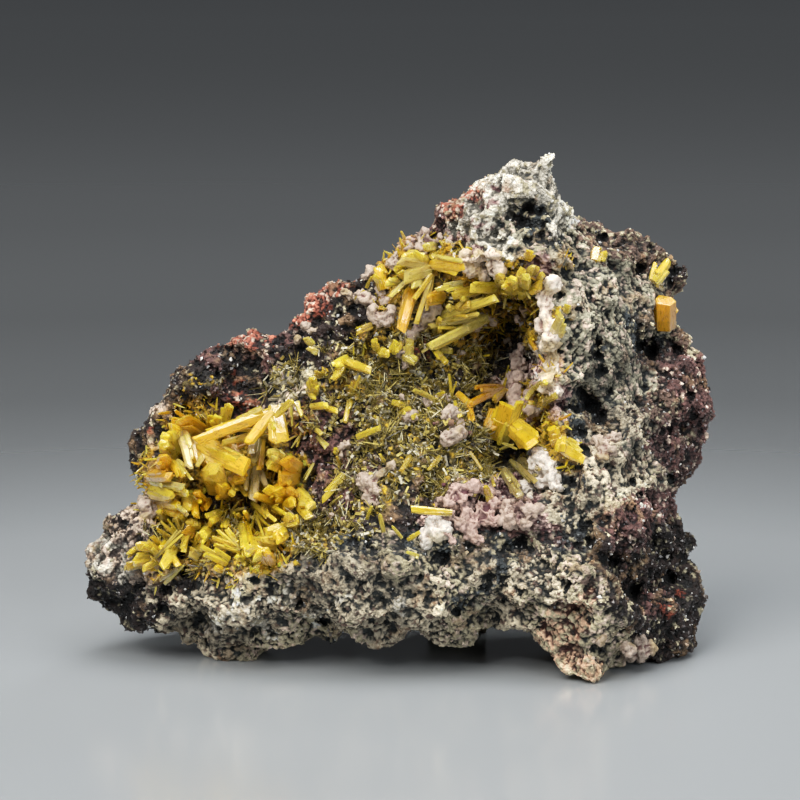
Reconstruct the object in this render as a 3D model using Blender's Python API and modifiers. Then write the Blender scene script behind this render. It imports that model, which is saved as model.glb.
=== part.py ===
"""A mimetite specimen: a broken piece of vuggy rock with a bowl in its display face, lined with
fine needles and set with groups of yellow prisms and blades and pale carbonate knobs.

Lengths are in millimetres until an object is made. The frame is +X right and +Z up with the
display face towards -Y, and the specimen stands on three small flats at Z = 0.
"""

import math

import bmesh
import bpy
import numpy as np
from mathutils import Matrix, Vector, noise
from mathutils.bvhtree import BVHTree

# ---- driving dimensions ----------------------------------------------------------------------
MM = 0.001
GAP = 0.32  # free space between two touching pieces
ROCK_TRIANGLES = 4000
CRYSTAL_TRIANGLES = 46  # for each crystal of a group, and so on
KNOB_TRIANGLES = 34
DRUSE_TRIANGLES = 1500
SLAB_VOXEL = 0.8  # fineness of the slab that is bent to the rock
ROCK_VOXEL = 0.75
RIM_THICKNESS = 3.2
BURIED = 1.3  # how deep a crystal is rooted in the rock
BRIDGE_REACH = 5.0  # roots nearer than this are joined along the rock

# The display face is laid out as a viewer in front of it sees it: across from the middle, and up
# from the front foot, both at the distance of the middle. Depth is measured along Y.
SIGHT_DISTANCE = 333.0
SIGHT_ELEVATION = math.radians(8.0)
MIDDLE_UP = 27.7
FRONT_FOOT = (18.6, -0.2, -12.0)

# The rim of the display face, clockwise from the left tip: across, up, depth.
RIM = [
    (-31.2, 8.5, -3), (-30.6, 11.0, -3), (-30.3, 13.2, -3), (-29.3, 15.6, -2), (-27.0, 17.2, -2),
    (-26.2, 18.7, -2), (-26.7, 21.5, -1), (-26.4, 24.7, 0), (-24.6, 27.2, 1), (-23.2, 29.2, 1),
    (-21.5, 31.0, 2), (-19.0, 32.7, 2), (-18.9, 33.9, 2), (-16.5, 34.2, 2), (-13.6, 33.8, 3),
    (-11.5, 34.5, 3), (-10.2, 36.5, 3), (-8.2, 37.5, 3), (-7.0, 39.0, 3), (-5.2, 40.2, 3),
    (-2.0, 41.3, 2), (0.3, 42.7, 1), (1.8, 44.3, 1), (3.3, 45.2, 1), (4.1, 46.9, 1),
    (6.4, 47.3, 0), (6.9, 48.7, -1), (8.4, 48.6, -1), (10.4, 51.1, -2), (12.2, 52.0, -2),
    (13.5, 51.2, -2), (15.7, 52.9, -3), (15.7, 50.3, -3), (16.8, 48.0, -2), (17.4, 45.0, 1),
    (18.2, 45.2, 7), (19.6, 45.6, 9), (21.0, 44.5, 9), (23.0, 44.3, 9), (24.8, 43.8, 9),
    (27.2, 41.7, 9), (28.9, 41.4, 9), (29.2, 40.2, 9), (27.6, 38.3, 8), (27.5, 36.0, 8),
    (29.2, 34.7, 8), (30.0, 32.5, 7), (30.6, 29.6, 7), (31.1, 26.4, 6), (30.7, 24.8, 6),
    (29.7, 24.0, 5), (29.8, 22.3, 5), (28.8, 19.6, 4), (27.8, 17.5, 3), (28.0, 15.0, 3),
    (28.6, 13.2, 2), (28.3, 11.8, 2), (30.0, 8.7, 1), (30.0, 6.3, 0), (29.5, 4.0, -1),
    (28.9, 2.3, -2), (26.5, 1.9, -4), (24.0, 1.9, -6), (21.3, 1.2, -9), (18.6, -0.2, -12),
    (17.2, 0.5, -12), (16.4, 1.9, -12), (14.2, 3.4, -11), (11.8, 4.6, -10), (9.2, 5.6, -10),
    (7.0, 4.0, -10), (4.4, 3.7, -10), (1.2, 4.4, -10), (-2.4, 3.5, -10), (-5.0, 4.3, -9),
    (-8.2, 3.0, -7), (-10.2, 2.5, -6), (-12.8, 2.5, -6), (-16.0, 1.9, -5), (-18.0, 2.1, -4),
    (-20.4, 3.4, -4), (-23.0, 4.3, -5), (-25.0, 5.3, -5), (-27.4, 5.4, -4), (-28.4, 7.0, -4),
    (-30.2, 7.2, -3),
]

# Depths of the display face inside the rim: across, up, depth. The grey lip and the feet stand
# forward, the bowl behind the lip falls away to the dark hollow under the right wall.
LIP = [
    (-24.0, 6.7, -8), (-20.0, 7.7, -10), (-16.0, 5.7, -9.5), (-12.0, 8.7, -12.5), (-7.0, 9.7, -14),
    (-7.0, 5.4, -11.5), (-2.0, 11.7, -14.6), (-2.0, 7.7, -15), (3.0, 12.8, -14), (3.0, 7.5, -15.5),
    (8.0, 11.7, -14.6), (10.0, 7.7, -14.5), (12.5, 14.5, -13), (16.0, 11.7, -14.8),
    (19.0, 7.7, -16), (19.0, 3.0, -14.6), (24.5, 11.7, -12), (25.0, 5.7, -11.5), (28.0, 7.7, -5.5),
    (-20.0, 9.7, -10), (-14.0, 11.1, -11.6), (-10.0, 12.2, -12.6), (-5.0, 14.3, -13.2),
    (2.0, 14.8, -12.2), (7.0, 17.2, -11.2), (12.0, 17.2, -10.8), (16.0, 18.4, -11),
]
BOWL = [
    (-21.5, 11.7, -7.2), (-24.0, 15.7, -5), (-24.0, 22.7, -2.0), (-20.0, 24.7, 0.8),
    (-15.0, 23.7, 1.6), (-11.0, 23.7, -1.6), (-11.0, 15.7, -6.2), (-16.0, 17.7, -1),
    (-17.0, 14.7, -4), (-15.0, 12.9, -8), (-8.6, 20.2, -1.8), (-5.0, 24.7, -5.4),
    (-6.0, 17.7, -6.6), (0.0, 22.7, -7.2), (0.0, 17.7, -9.2), (5.0, 21.7, -7.6),
    (5.0, 25.7, -4.6), (0.0, 27.7, -4), (-5.0, 29.7, -2.4), (-2.0, 32.7, -1.2), (3.0, 29.7, -1),
    (7.0, 23.7, -5.2), (9.0, 20.7, -6.2), (7.6, 30.7, 4.6), (11.0, 34.4, 7.6), (9.4, 27.2, 2.4),
    (12.0, 24.2, 1.2), (12.8, 29.6, 5.6), (11.5, 19.7, -4), (7.0, 33.6, 4.6), (12.8, 36.6, 5.4),
]
SHOULDER = [
    (-20.0, 29.7, -2), (-23.0, 27.7, -1.8), (-15.2, 30.6, 0.6), (-10.0, 30.7, -1.4),
    (-7.0, 33.7, -0.8), (-12.0, 33.0, 0.6), (-5.0, 37.7, 0.4), (0.0, 37.7, -1.6), (4.0, 38.7, -0.6),
    (8.0, 37.7, 0), (2.0, 41.7, -1.2), (-2.0, 38.7, -0.6), (5.0, 34.7, 1),
    (-29.0, 11.7, -5), (-27.0, 13.7, -5.6), (-30.0, 9.2, -4.6), (-27.0, 7.7, -6.4),
]
PEAK_AND_WALL = [
    (8.0, 42.7, -3), (10.0, 47.7, -3.6), (13.0, 49.7, -3.2), (12.0, 44.7, -4.6), (14.0, 46.7, -4.2),
    (10.0, 39.7, -5), (14.0, 39.7, -6), (14.6, 36.6, -6.6), (14.6, 33.6, -7.4), (14.6, 29.6, -7.8),
    (14.6, 26.4, -8.2), (15.4, 22.7, -9.6), (12.6, 38.6, -4.8), (9.6, 38.8, -3.6),
    (16.0, 44.7, -5), (16.2, 40.7, -5.6), (18.0, 41.7, -3.6), (18.0, 35.7, -5), (18.0, 27.7, -6.2),
    (19.0, 22.7, -10), (20.0, 19.7, -11), (22.0, 34.7, -1.2), (22.0, 27.7, -2.6), (24.0, 22.7, -6.6),
    (26.0, 27.7, 0.8), (25.0, 32.7, 1.6), (26.0, 19.7, -4.2), (22.0, 39.7, 0.6), (20.2, 43.7, 6.8),
    (24.0, 41.7, 6.6), (27.2, 40.2, 7.6), (26.6, 34.7, 4.6), (29.0, 29.7, 4.8), (29.0, 25.7, 4),
    (24.0, 15.7, -10), (27.0, 13.7, -4.8), (20.0, 14.7, -13),
]
# Pits and bosses of the display face: across, up, radius, depth (into the rock where positive).
DENTS = [
    (11.3, 46.6, 1.2, 2.6), (12.7, 45.6, 1.4, 3.2), (14.0, 44.3, 1.0, 2.2), (9.9, 44.0, 0.8, 1.2),
    (15.8, 45.8, 1.0, -1.6), (15.3, 42.3, 0.9, -0.9), (15.5, 39.4, 0.7, -0.8), (16.6, 38.8, 0.9, 1.4),
    (8.6, 46.0, 1.6, -0.8), (12.0, 48.4, 1.3, -0.8), (9.4, 42.2, 1.6, -0.8),
    (21.2, 36.2, 1.2, 1.8), (17.0, 33.4, 1.3, 1.9), (19.8, 31.2, 1.1, 1.9), (21.2, 29.0, 1.0, 1.8),
    (18.4, 27.4, 1.5, 2.8), (20.0, 26.2, 1.3, 2.6), (17.6, 24.6, 0.9, 1.6), (25.3, 33.2, 2.0, 3.4),
    (22.6, 32.0, 1.6, -1.2), (18.6, 36.4, 1.6, -1.0), (24.6, 29.0, 1.6, 1.4), (27.6, 28.4, 1.6, -1.2),
    (23.4, 19.5, 0.9, 2.0), (19.2, 22.2, 0.9, 1.8), (25.8, 22.8, 1.0, 1.4), (26.8, 20.4, 1.2, 1.6),
    (21.6, 23.6, 1.8, -1.6), (20.0, 19.8, 1.8, -1.4), (24.2, 24.6, 1.4, -1.0), (28.0, 25.6, 1.4, 1.2),
    (3.4, 13.0, 1.4, 1.6), (7.0, 12.6, 1.3, 1.2), (10.4, 13.5, 1.4, 1.6), (14.2, 13.8, 1.4, 1.6),
    (18.2, 13.4, 1.5, 1.8), (21.6, 12.0, 1.3, 1.3), (12.6, 15.4, 1.2, -0.9), (17.2, 16.4, 1.4, 1.1),
    (5.6, 10.8, 1.4, 1.2), (9.2, 9.2, 1.0, 1.6), (10.4, 7.8, 0.9, 1.4), (14.6, 11.4, 1.5, -1.0),
    (24.6, 9.6, 2.0, 2.2), (27.2, 11.2, 1.8, 2.0), (22.4, 8.4, 1.4, -0.9), (17.8, 7.6, 1.8, -0.9),
    (-12.0, 8.4, 1.7, 1.4), (-8.6, 6.9, 1.5, 1.7), (-16.6, 7.4, 1.6, -0.9), (-4.8, 11.0, 1.5, -0.9),
    (-9.6, 10.6, 1.2, -0.8), (1.6, 8.2, 1.6, -0.9), (-1.6, 5.2, 1.2, 1.0), (-5.4, 7.4, 1.3, -0.8),
    (-21.0, 10.8, 1.1, 2.2), (-26.0, 8.2, 1.3, 1.2), (-28.6, 8.4, 1.0, -0.7), (-23.6, 6.4, 1.2, 0.9),
    (-15.2, 30.4, 2.0, 2.6), (-8.4, 36.0, 1.1, 1.4), (-5.6, 35.0, 1.0, -0.9), (-20.8, 28.6, 1.2, -0.9),
    (-4.6, 26.6, 1.2, 1.6), (-8.6, 24.2, 1.3, 1.0), (-3.6, 16.6, 1.3, 1.6), (-6.4, 14.4, 1.0, 0.9),
    (4.4, 25.0, 1.6, -1.0), (5.4, 17.8, 2.0, -1.2), (-17.6, 17.2, 1.3, 1.4), (-1.0, 30.6, 1.4, -0.8),
]
# Depths of the back: across, up, depth.
BACK = [
    (-29.0, 9.0, 4.5), (-25.0, 8.0, 8), (-20.0, 10.0, 11), (-22.0, 20.0, 7.5), (-14.0, 12.0, 14.5),
    (-16.0, 26.0, 9.5), (-6.0, 9.0, 17), (-7.0, 24.0, 12.5), (-2.0, 35.0, 8.5), (2.0, 10.0, 17.5),
    (3.0, 27.0, 15), (8.0, 40.0, 8), (12.0, 12.0, 17), (13.0, 30.0, 17), (13.0, 47.0, 3),
    (20.0, 18.0, 15.5), (22.0, 34.0, 17), (22.0, 42.0, 14.5), (28.0, 38.0, 12.5), (28.0, 24.0, 10.5),
    (26.0, 9.0, 10), (17.0, 6.0, 14.5), (-12.0, 33.0, 6.5),
]
# Lumps and hollows of the back and the underside: X, Y, Z, radius, rise.
BACK_LUMPS = [
    (-15.0, 12.0, 15.0, 6.0, 1.6), (-3.0, 16.0, 23.0, 6.0, -2.2), (10.0, 17.0, 12.0, 6.0, 1.8),
    (16.0, 16.0, 30.0, 5.0, -2.0), (24.0, 13.0, 22.0, 6.0, 1.4), (2.0, 11.0, 35.0, 5.0, 1.3),
    (-22.0, 6.0, 24.0, 5.0, -1.3), (-2.0, 2.0, 2.0, 7.0, -1.6), (22.0, 6.0, 1.0, 5.0, -1.2),
    (27.0, 8.0, 32.0, 3.4, -1.6), (20.0, 14.0, 40.0, 4.0, 1.2), (-8.0, 15.0, 7.0, 4.0, -1.6),
]
# Feet: X, Y, radius of each flat's boss.
FEET = {"front_right": (17.9, -12.2, 2.6), "left": (-15.6, 3.6, 4.4), "back": (6.0, 11.0, 4.6)}

# ---- crystals --------------------------------------------------------------------------------
# Each crystal: root across and up, tip across and up, how far its tip stands out of the rock
# there, width, thickness, and roll in degrees about its length.
LEFT_BLADES = [
    (-13.0, 26.2, -20.4, 23.8, 7.8, 1.5, 0.8, 20), (-13.0, 24.8, -18.2, 23.3, 6.6, 1.1, 0.7, 60),
    (-20.8, 23.6, -14.9, 20.4, 7.4, 2.6, 1.0, 15), (-21.6, 26.6, -18.2, 24.3, 6.0, 2.3, 0.8, 10),
    (-23.2, 25.8, -22.9, 23.0, 7.0, 2.6, 2.0, 25), (-22.2, 25.4, -20.6, 20.6, 7.6, 1.5, 1.0, 70),
    (-24.2, 23.8, -23.0, 20.8, 6.8, 2.3, 1.6, 40), (-23.8, 21.2, -20.4, 19.5, 6.6, 1.0, 0.7, 30),
    (-17.6, 21.6, -18.6, 18.8, 9.0, 3.7, 2.8, 35), (-15.4, 20.6, -16.4, 18.9, 7.0, 1.7, 1.4, 10),
    (-25.2, 19.2, -21.6, 18.7, 7.0, 1.9, 1.1, 50), (-25.2, 21.0, -24.2, 18.4, 6.2, 2.2, 1.8, 15),
    (-22.8, 18.6, -21.6, 16.6, 6.0, 1.3, 0.9, 60), (-19.4, 18.4, -20.2, 16.6, 5.8, 1.4, 1.1, 30),
    (-18.6, 25.4, -18.2, 25.8, 4.8, 1.6, 1.3, 10), (-16.6, 26.2, -16.8, 27.0, 4.8, 1.3, 1.1, 40),
]
COLUMN = [
    (-12.2, 25.4, -12.4, 24.4, 6.8, 2.1, 2.0, 15), (-11.6, 22.6, -12.4, 21.8, 8.0, 3.0, 2.6, 25),
    (-10.4, 20.2, -11.4, 20.0, 6.4, 2.5, 2.0, 10), (-12.6, 18.8, -12.6, 18.4, 7.2, 3.2, 1.7, 35),
    (-9.8, 18.2, -9.4, 17.4, 6.4, 1.8, 1.4, 60), (-10.4, 16.6, -10.8, 16.0, 5.8, 2.3, 1.8, 20),
    (-14.8, 21.0, -14.9, 18.2, 6.2, 1.1, 0.9, 15), (-10.8, 27.4, -11.8, 25.8, 5.0, 1.1, 0.7, 30),
]
LOWER_SPRAY = [
    (-15.4, 15.4, -15.0, 12.4, 4.4, 1.0, 0.8, 20), (-17.4, 13.6, -18.8, 14.2, 4.0, 1.4, 0.8, 40),
    (-16.6, 13.8, -17.6, 12.0, 4.2, 1.3, 0.8, 10), (-18.6, 13.6, -19.4, 12.6, 3.8, 1.2, 0.7, 50),
    (-12.6, 14.6, -13.6, 12.8, 3.6, 1.9, 1.6, 30), (-11.8, 14.6, -12.2, 13.6, 3.2, 2.0, 1.7, 10),
    (-19.8, 15.4, -19.4, 14.4, 3.6, 1.3, 1.0, 20), (-21.0, 14.2, -21.4, 12.6, 3.2, 1.1, 0.8, 70),
]
LEFT_TAIL = [
    (-22.6, 13.2, -23.8, 11.2, 3.6, 1.7, 0.8, 25), (-25.2, 13.4, -26.6, 12.0, 2.8, 1.4, 0.7, 45),
    (-24.8, 12.2, -25.6, 10.8, 2.8, 1.5, 0.8, 15), (-21.8, 12.6, -22.4, 11.6, 2.4, 1.0, 0.8, 60),
]
UPPER_GROUP = [
    (1.6, 38.8, 0.1, 35.0, 4.8, 1.4, 0.9, 20), (0.6, 39.4, -1.0, 38.0, 3.6, 0.9, 0.7, 50),
    (3.2, 39.0, 1.8, 35.4, 4.0, 0.9, 0.7, 30), (2.8, 41.2, 0.9, 39.8, 4.2, 2.1, 1.6, 15),
    (2.8, 40.6, 5.4, 40.8, 3.6, 1.6, 1.3, 40), (4.4, 38.2, 7.8, 38.8, 3.4, 1.4, 0.9, 20),
    (5.6, 39.6, 4.0, 38.6, 3.2, 1.1, 0.8, 35), (3.6, 36.4, 8.4, 37.4, 3.6, 1.3, 0.9, 30),
    (7.2, 35.2, 3.4, 33.4, 4.0, 1.3, 0.9, 15), (5.0, 34.4, 4.2, 32.4, 3.0, 0.9, 0.7, 55),
]
RIGHT_BLADES = [
    (12.6, 27.6, 9.6, 23.9, 6.4, 2.6, 1.3, 20), (13.4, 25.4, 10.4, 23.2, 5.6, 1.9, 1.1, 40),
    (12.4, 28.4, 11.4, 27.4, 5.4, 1.9, 1.4, 60), (13.2, 25.2, 13.0, 23.6, 5.0, 1.1, 0.9, 15),
    (11.6, 27.2, 7.6, 27.4, 4.6, 1.1, 0.8, 30),
]
WALL_CRYSTALS = [
    (15.6, 24.4, 15.3, 23.4, 2.6, 1.8, 1.5, 10), (16.6, 23.6, 17.0, 22.6, 2.4, 1.7, 1.4, 45),
    (17.4, 22.8, 18.0, 22.0, 1.8, 1.2, 1.0, 20),
]
RIDGE_CRUST = [
    (9.8, 39.9, 9.8, 39.7, 2.2, 1.5, 1.4, 10), (11.2, 39.2, 11.2, 39.0, 2.6, 1.7, 1.5, 40),
    (12.6, 39.4, 12.6, 39.3, 2.4, 1.6, 1.5, 20), (13.6, 39.0, 13.7, 38.9, 2.0, 1.3, 1.2, 60),
    (12.0, 40.4, 12.2, 40.4, 2.0, 1.2, 1.1, 30), (10.4, 38.8, 10.6, 38.3, 2.4, 1.1, 1.0, 50),
]
CRYSTAL_GROUPS = {
    "mimetite_left_cluster": LEFT_BLADES + COLUMN + LOWER_SPRAY,
    "mimetite_left_tail": LEFT_TAIL,
    "mimetite_upper_group": UPPER_GROUP,
    "mimetite_right_blades": RIGHT_BLADES,
    "mimetite_wall_crystals": WALL_CRYSTALS,
    "mimetite_ridge_crust": RIDGE_CRUST,
    "mimetite_prism_centre": [(-3.2, 30.8, -6.4, 31.0, 2.8, 1.4, 1.2, 20)],
    "mimetite_prism_left_centre": [(-8.4, 28.6, -8.6, 29.8, 2.6, 1.2, 1.1, 10)],
    "mimetite_block_back_right": [(26.4, 36.6, 26.5, 36.4, 3.0, 2.3, 1.9, 15)],
    "mimetite_prism_back_right": [(25.6, 39.6, 26.2, 40.8, 2.2, 1.4, 1.2, 30)],
    "mimetite_prism_top_right": [(19.6, 42.2, 19.8, 42.4, 2.4, 1.4, 1.2, 20)],
    "mimetite_prism_rim": [(-1.6, 40.2, -2.2, 41.0, 1.9, 1.1, 1.0, 35)],
}

# ---- pale carbonate knobs ----------------------------------------------------------------------
# Each lump of a knob: across, up, radius. A knob's lumps overlap.
KNOBS = {
    "knob_high_ridge": [(1.4, 43.6, 1.2), (2.9, 43.9, 1.0), (2.2, 42.8, 0.9)],
    "knob_below_peak": [(7.2, 40.9, 1.2), (8.6, 41.4, 1.3), (9.6, 40.8, 1.0)],
    "knob_wall_column": [
        (14.8, 37.2, 1.0), (15.1, 35.8, 1.1), (15.0, 34.4, 1.1), (15.2, 33.0, 1.2), (15.0, 31.6, 1.1),
        (15.1, 30.2, 1.0),
    ],
    "knob_hollow_right": [(9.8, 30.1, 1.3), (11.4, 29.6, 1.4), (12.0, 31.2, 1.2), (11.6, 28.0, 1.2)],
    "knob_under_group": [(2.6, 35.4, 1.0), (1.6, 34.6, 0.9), (0.4, 33.6, 0.8)],
    "knob_bowl_top": [(-1.6, 35.4, 1.1), (-2.6, 36.2, 0.9)],
    "knob_mound": [(4.4, 25.2, 1.2), (5.4, 24.2, 1.0), (6.7, 24.1, 0.8)],
    "knob_low_left": [(-3.4, 19.2, 1.0), (-2.4, 18.6, 1.0), (-3.0, 17.9, 0.8)],
    "knob_crust_low": [
        (3.8, 17.6, 1.5), (5.6, 18.3, 1.5), (7.6, 18.0, 1.6), (9.0, 17.2, 1.4), (4.6, 15.6, 1.2),
        (2.9, 14.6, 1.3),
    ],
    "knob_low_right": [(11.3, 16.4, 1.5), (12.9, 15.8, 1.2), (10.8, 15.2, 1.0)],
    "knob_white": [(14.2, 21.2, 1.5), (15.0, 20.4, 1.1), (13.4, 19.4, 1.2), (12.4, 18.6, 1.2)],
}

# ---- needle druse ------------------------------------------------------------------------------
DRUSE_CENTRE = (-0.4, 24.8)  # across, up
DRUSE_HALF_SIZE = (9.8, 9.0)
DRUSE_CELL = 2.0
DRUSE_THICKNESS = 0.9
NEEDLES = 76
NEEDLE_RADIUS = 0.42
NEEDLE_LENGTHS = (2.0, 3.8)

# ---- looks: colour and roughness -----------------------------------------------------------------
ROCK_LOOK = ((0.16, 0.13, 0.12), 0.8)
MIMETITE_LOOK = ((0.78, 0.52, 0.06), 0.25)
KNOB_LOOK = ((0.72, 0.62, 0.60), 0.55)
DRUSE_LOOK = ((0.34, 0.31, 0.14), 0.4)


# ---- the viewer's lay-out --------------------------------------------------------------------
def sight(across, up, depth, middle_height=0.0):
    """The point that a viewer sees at across and up and that lies at the given depth along Y."""
    run = SIGHT_DISTANCE * math.cos(SIGHT_ELEVATION)
    fall = SIGHT_DISTANCE * math.sin(SIGHT_ELEVATION)
    above = np.asarray(up, dtype=float) - MIDDLE_UP
    share = (depth + run) / (run + above * math.sin(SIGHT_ELEVATION))
    height = middle_height + fall + share * (above * math.cos(SIGHT_ELEVATION) - fall)
    return np.stack(np.broadcast_arrays(share * across, depth, height), axis=-1)


MIDDLE_HEIGHT = -sight(*FRONT_FOOT)[2]


def place(across, up, depth):
    """The same as sight, with the front foot at Z = 0."""
    return sight(across, up, depth, MIDDLE_HEIGHT)


def depth_field(samples):
    """A smooth depth over (across, up) through the samples: cones on each sample plus a plane."""
    points = np.array(samples, dtype=float)
    spots, depths = points[:, :2], points[:, 2]
    count = len(spots)
    matrix = np.zeros((count + 3, count + 3))
    matrix[:count, :count] = np.linalg.norm(spots[:, None] - spots[None], axis=2)
    matrix[:count, count:] = np.column_stack([np.ones(count), spots])
    matrix[count:, :count] = matrix[:count, count:].T
    weights = np.linalg.solve(matrix, np.concatenate([depths, np.zeros(3)]))

    def field(across, up):
        here = np.column_stack([across, up])
        spread = np.linalg.norm(here[:, None] - spots[None], axis=2)
        return spread @ weights[:count] + weights[count] + here @ weights[count + 1:]

    return field


def display_face():
    """Depth of the display face, with its dents."""
    base = depth_field(RIM + LIP + BOWL + SHOULDER + PEAK_AND_WALL)

    def field(across, up):
        depth = base(across, up)
        for dent_across, dent_up, radius, dent in DENTS:
            away = np.hypot(across - dent_across, up - dent_up) / radius
            depth = depth + dent * np.exp(-away ** 2)
        return depth

    return field


def back_face():
    """Depth of the back, which meets the rim with the rim's thickness."""
    rim = [(across, up, depth + RIM_THICKNESS) for across, up, depth in RIM]
    return depth_field(rim + BACK)


# ---- small tools -----------------------------------------------------------------------------
def collection(name, hidden=False):
    """A new collection in the scene."""
    made = bpy.data.collections.new(name)
    bpy.context.scene.collection.children.link(made)
    made.hide_render = hidden
    return made


def material(name, colour, roughness):
    """A plain Principled material."""
    made = bpy.data.materials.new(name)
    made.use_nodes = True
    shader = made.node_tree.nodes["Principled BSDF"]
    shader.inputs["Base Color"].default_value = (*colour, 1.0)
    shader.inputs["Roughness"].default_value = roughness
    made.diffuse_color = (*colour, 1.0)
    return made


def mesh_object(name, bm, home):
    """An object in the given collection from a bmesh, which is freed."""
    mesh = bpy.data.meshes.new(name)
    bm.to_mesh(mesh)
    bm.free()
    made = bpy.data.objects.new(name, mesh)
    home.objects.link(made)
    return made


def bake(thing):
    """Apply an object's modifiers to its mesh."""
    bpy.context.view_layer.update()
    graph = bpy.context.evaluated_depsgraph_get()
    baked = bpy.data.meshes.new_from_object(thing.evaluated_get(graph), depsgraph=graph)
    old = thing.data
    thing.modifiers.clear()
    thing.data = baked
    bpy.data.meshes.remove(old)


def drop(thing):
    """Remove an object and its mesh."""
    mesh = thing.data
    bpy.data.objects.remove(thing)
    bpy.data.meshes.remove(mesh)


def coordinates(mesh):
    """The points of a mesh as an array."""
    flat = np.empty(len(mesh.vertices) * 3)
    mesh.vertices.foreach_get("co", flat)
    return flat.reshape(-1, 3)


def set_coordinates(mesh, points):
    """Write an array of points back to a mesh."""
    mesh.vertices.foreach_set("co", np.ascontiguousarray(points, dtype=np.float32).ravel())
    mesh.update()


def normals(mesh):
    """The point normals of a mesh as an array."""
    flat = np.empty(len(mesh.vertices) * 3, dtype=np.float32)
    mesh.vertex_normals.foreach_get("vector", flat)
    return flat.reshape(-1, 3)


def remesh(thing, voxel):
    """Rebuild an object's surface at an even fineness, which also joins what overlaps in it."""
    modifier = thing.modifiers.new("even", "REMESH")
    modifier.mode = "VOXEL"
    modifier.voxel_size = voxel
    bake(thing)


def combine(thing, other):
    """Join the overlapping shapes of an object into one, less the other object."""
    modifier = thing.modifiers.new("combine", "BOOLEAN")
    modifier.operation = "DIFFERENCE"
    modifier.solver = "EXACT"
    modifier.object = other
    modifier.use_self = True
    bake(thing)


def cut_clear(thing, room):
    """Cut a closed object by another, which may cross itself where it was grown."""
    modifier = thing.modifiers.new("clear", "BOOLEAN")
    modifier.operation = "DIFFERENCE"
    modifier.solver = "MANIFOLD"
    modifier.object = room
    bake(thing)


def thin_out(thing, triangles):
    """Bring an object down to a number of triangles."""
    bm = bmesh.new()
    bm.from_mesh(thing.data)
    bmesh.ops.triangulate(bm, faces=bm.faces)
    bm.to_mesh(thing.data)
    bm.free()
    fewer = thing.modifiers.new("fewer", "DECIMATE")
    fewer.ratio = min(1.0, triangles / len(thing.data.polygons))
    bake(thing)


def largest_body(thing):
    """Keep only the body with the most faces: chips that a cut leaves are dropped."""
    bm = bmesh.new()
    bm.from_mesh(thing.data)
    unseen = set(bm.faces)
    bodies = []
    while unseen:
        front = {unseen.pop()}
        body = set(front)
        while front:
            reached = {face for old in front for edge in old.edges for face in edge.link_faces}
            front = reached - body
            body |= front
        unseen -= body
        bodies.append(body)
    bodies.sort(key=len, reverse=True)
    chips = [face for body in bodies[1:] for face in body]
    bmesh.ops.delete(bm, geom=chips, context="FACES")
    bm.to_mesh(thing.data)
    bm.free()


def grown(thing, amount, home):
    """A copy of an object, larger all round by the amount, measured square to its faces."""
    copy = bpy.data.objects.new(thing.name + "_room", thing.data.copy())
    home.objects.link(copy)
    copy.hide_render = True
    copy.display_type = "WIRE"
    out = normals(copy.data)
    lean = np.ones(len(out))
    for face in copy.data.polygons:
        for corner in face.vertices:
            lean[corner] = min(lean[corner], float(np.dot(out[corner], face.normal)))
    reach = amount / np.clip(lean, 0.4, 1.0)
    set_coordinates(copy.data, coordinates(copy.data) + out * reach[:, None])
    return copy


# ---- the rock --------------------------------------------------------------------------------
def slab(home):
    """The outline of the display face as a slab, one unit thick either way."""
    curve = bpy.data.curves.new("outline", "CURVE")
    curve.dimensions = "2D"
    curve.fill_mode = "BOTH"
    curve.extrude = 6.0
    spline = curve.splines.new("POLY")
    spline.points.add(len(RIM) - 1)
    for point, (across, up, _) in zip(spline.points, RIM):
        point.co = (across, up, 0.0, 1.0)
    spline.use_cyclic_u = True
    outline = bpy.data.objects.new("outline", curve)
    home.objects.link(outline)
    bpy.context.view_layer.update()
    graph = bpy.context.evaluated_depsgraph_get()
    mesh = bpy.data.meshes.new_from_object(outline.evaluated_get(graph), depsgraph=graph)
    bpy.data.objects.remove(outline)
    bpy.data.curves.remove(curve)
    bm = bmesh.new()
    bm.from_mesh(mesh)
    bpy.data.meshes.remove(mesh)
    bmesh.ops.remove_doubles(bm, verts=bm.verts, dist=0.0001)
    bmesh.ops.recalc_face_normals(bm, faces=bm.faces)
    return mesh_object("slab", bm, home)


def bend_slab(thing, front, back):
    """Move the slab's points to the display face, the back and evenly between them."""
    flat = coordinates(thing.data)
    across, up = flat[:, 0], flat[:, 1]
    share = np.clip((flat[:, 2] + 6.0) / 12.0, 0.0, 1.0)
    ahead = front(across, up)
    behind = np.maximum(back(across, up), ahead + RIM_THICKNESS)
    set_coordinates(thing.data, place(across, up, ahead + share * (behind - ahead)))


def boss(position, radius, height):
    """A squat cone under the rock that becomes one of its feet."""
    bm = bmesh.new()
    bmesh.ops.create_cone(bm, cap_ends=True, segments=9, radius1=radius * 0.62, radius2=radius,
                          depth=height + 0.8,
                          matrix=Matrix.Translation((*position, height / 2 - 0.4)))
    return bm


def roughen(thing):
    """Push the rock's points out and in: lumps and hollows of the back, ridges, pits and ledges."""
    points = coordinates(thing.data)
    out = normals(thing.data)
    push = np.zeros(len(points))
    for x, y, z, radius, rise in BACK_LUMPS:
        push += rise * np.exp(-(np.linalg.norm(points - (x, y, z), axis=1) / radius) ** 2)
    for size, height, seed in ((7.0, 0.9, 3.0), (3.6, 0.95, 17.0), (2.2, 0.6, 41.0)):
        ridged = np.array([
            1.0 - 2.4 * abs(noise.noise(Vector(point / size) + Vector((seed, 0.0, 0.0))))
            for point in points
        ])
        push += height * (ridged - 0.45)
    set_coordinates(thing.data, points + out * push[:, None])


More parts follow.
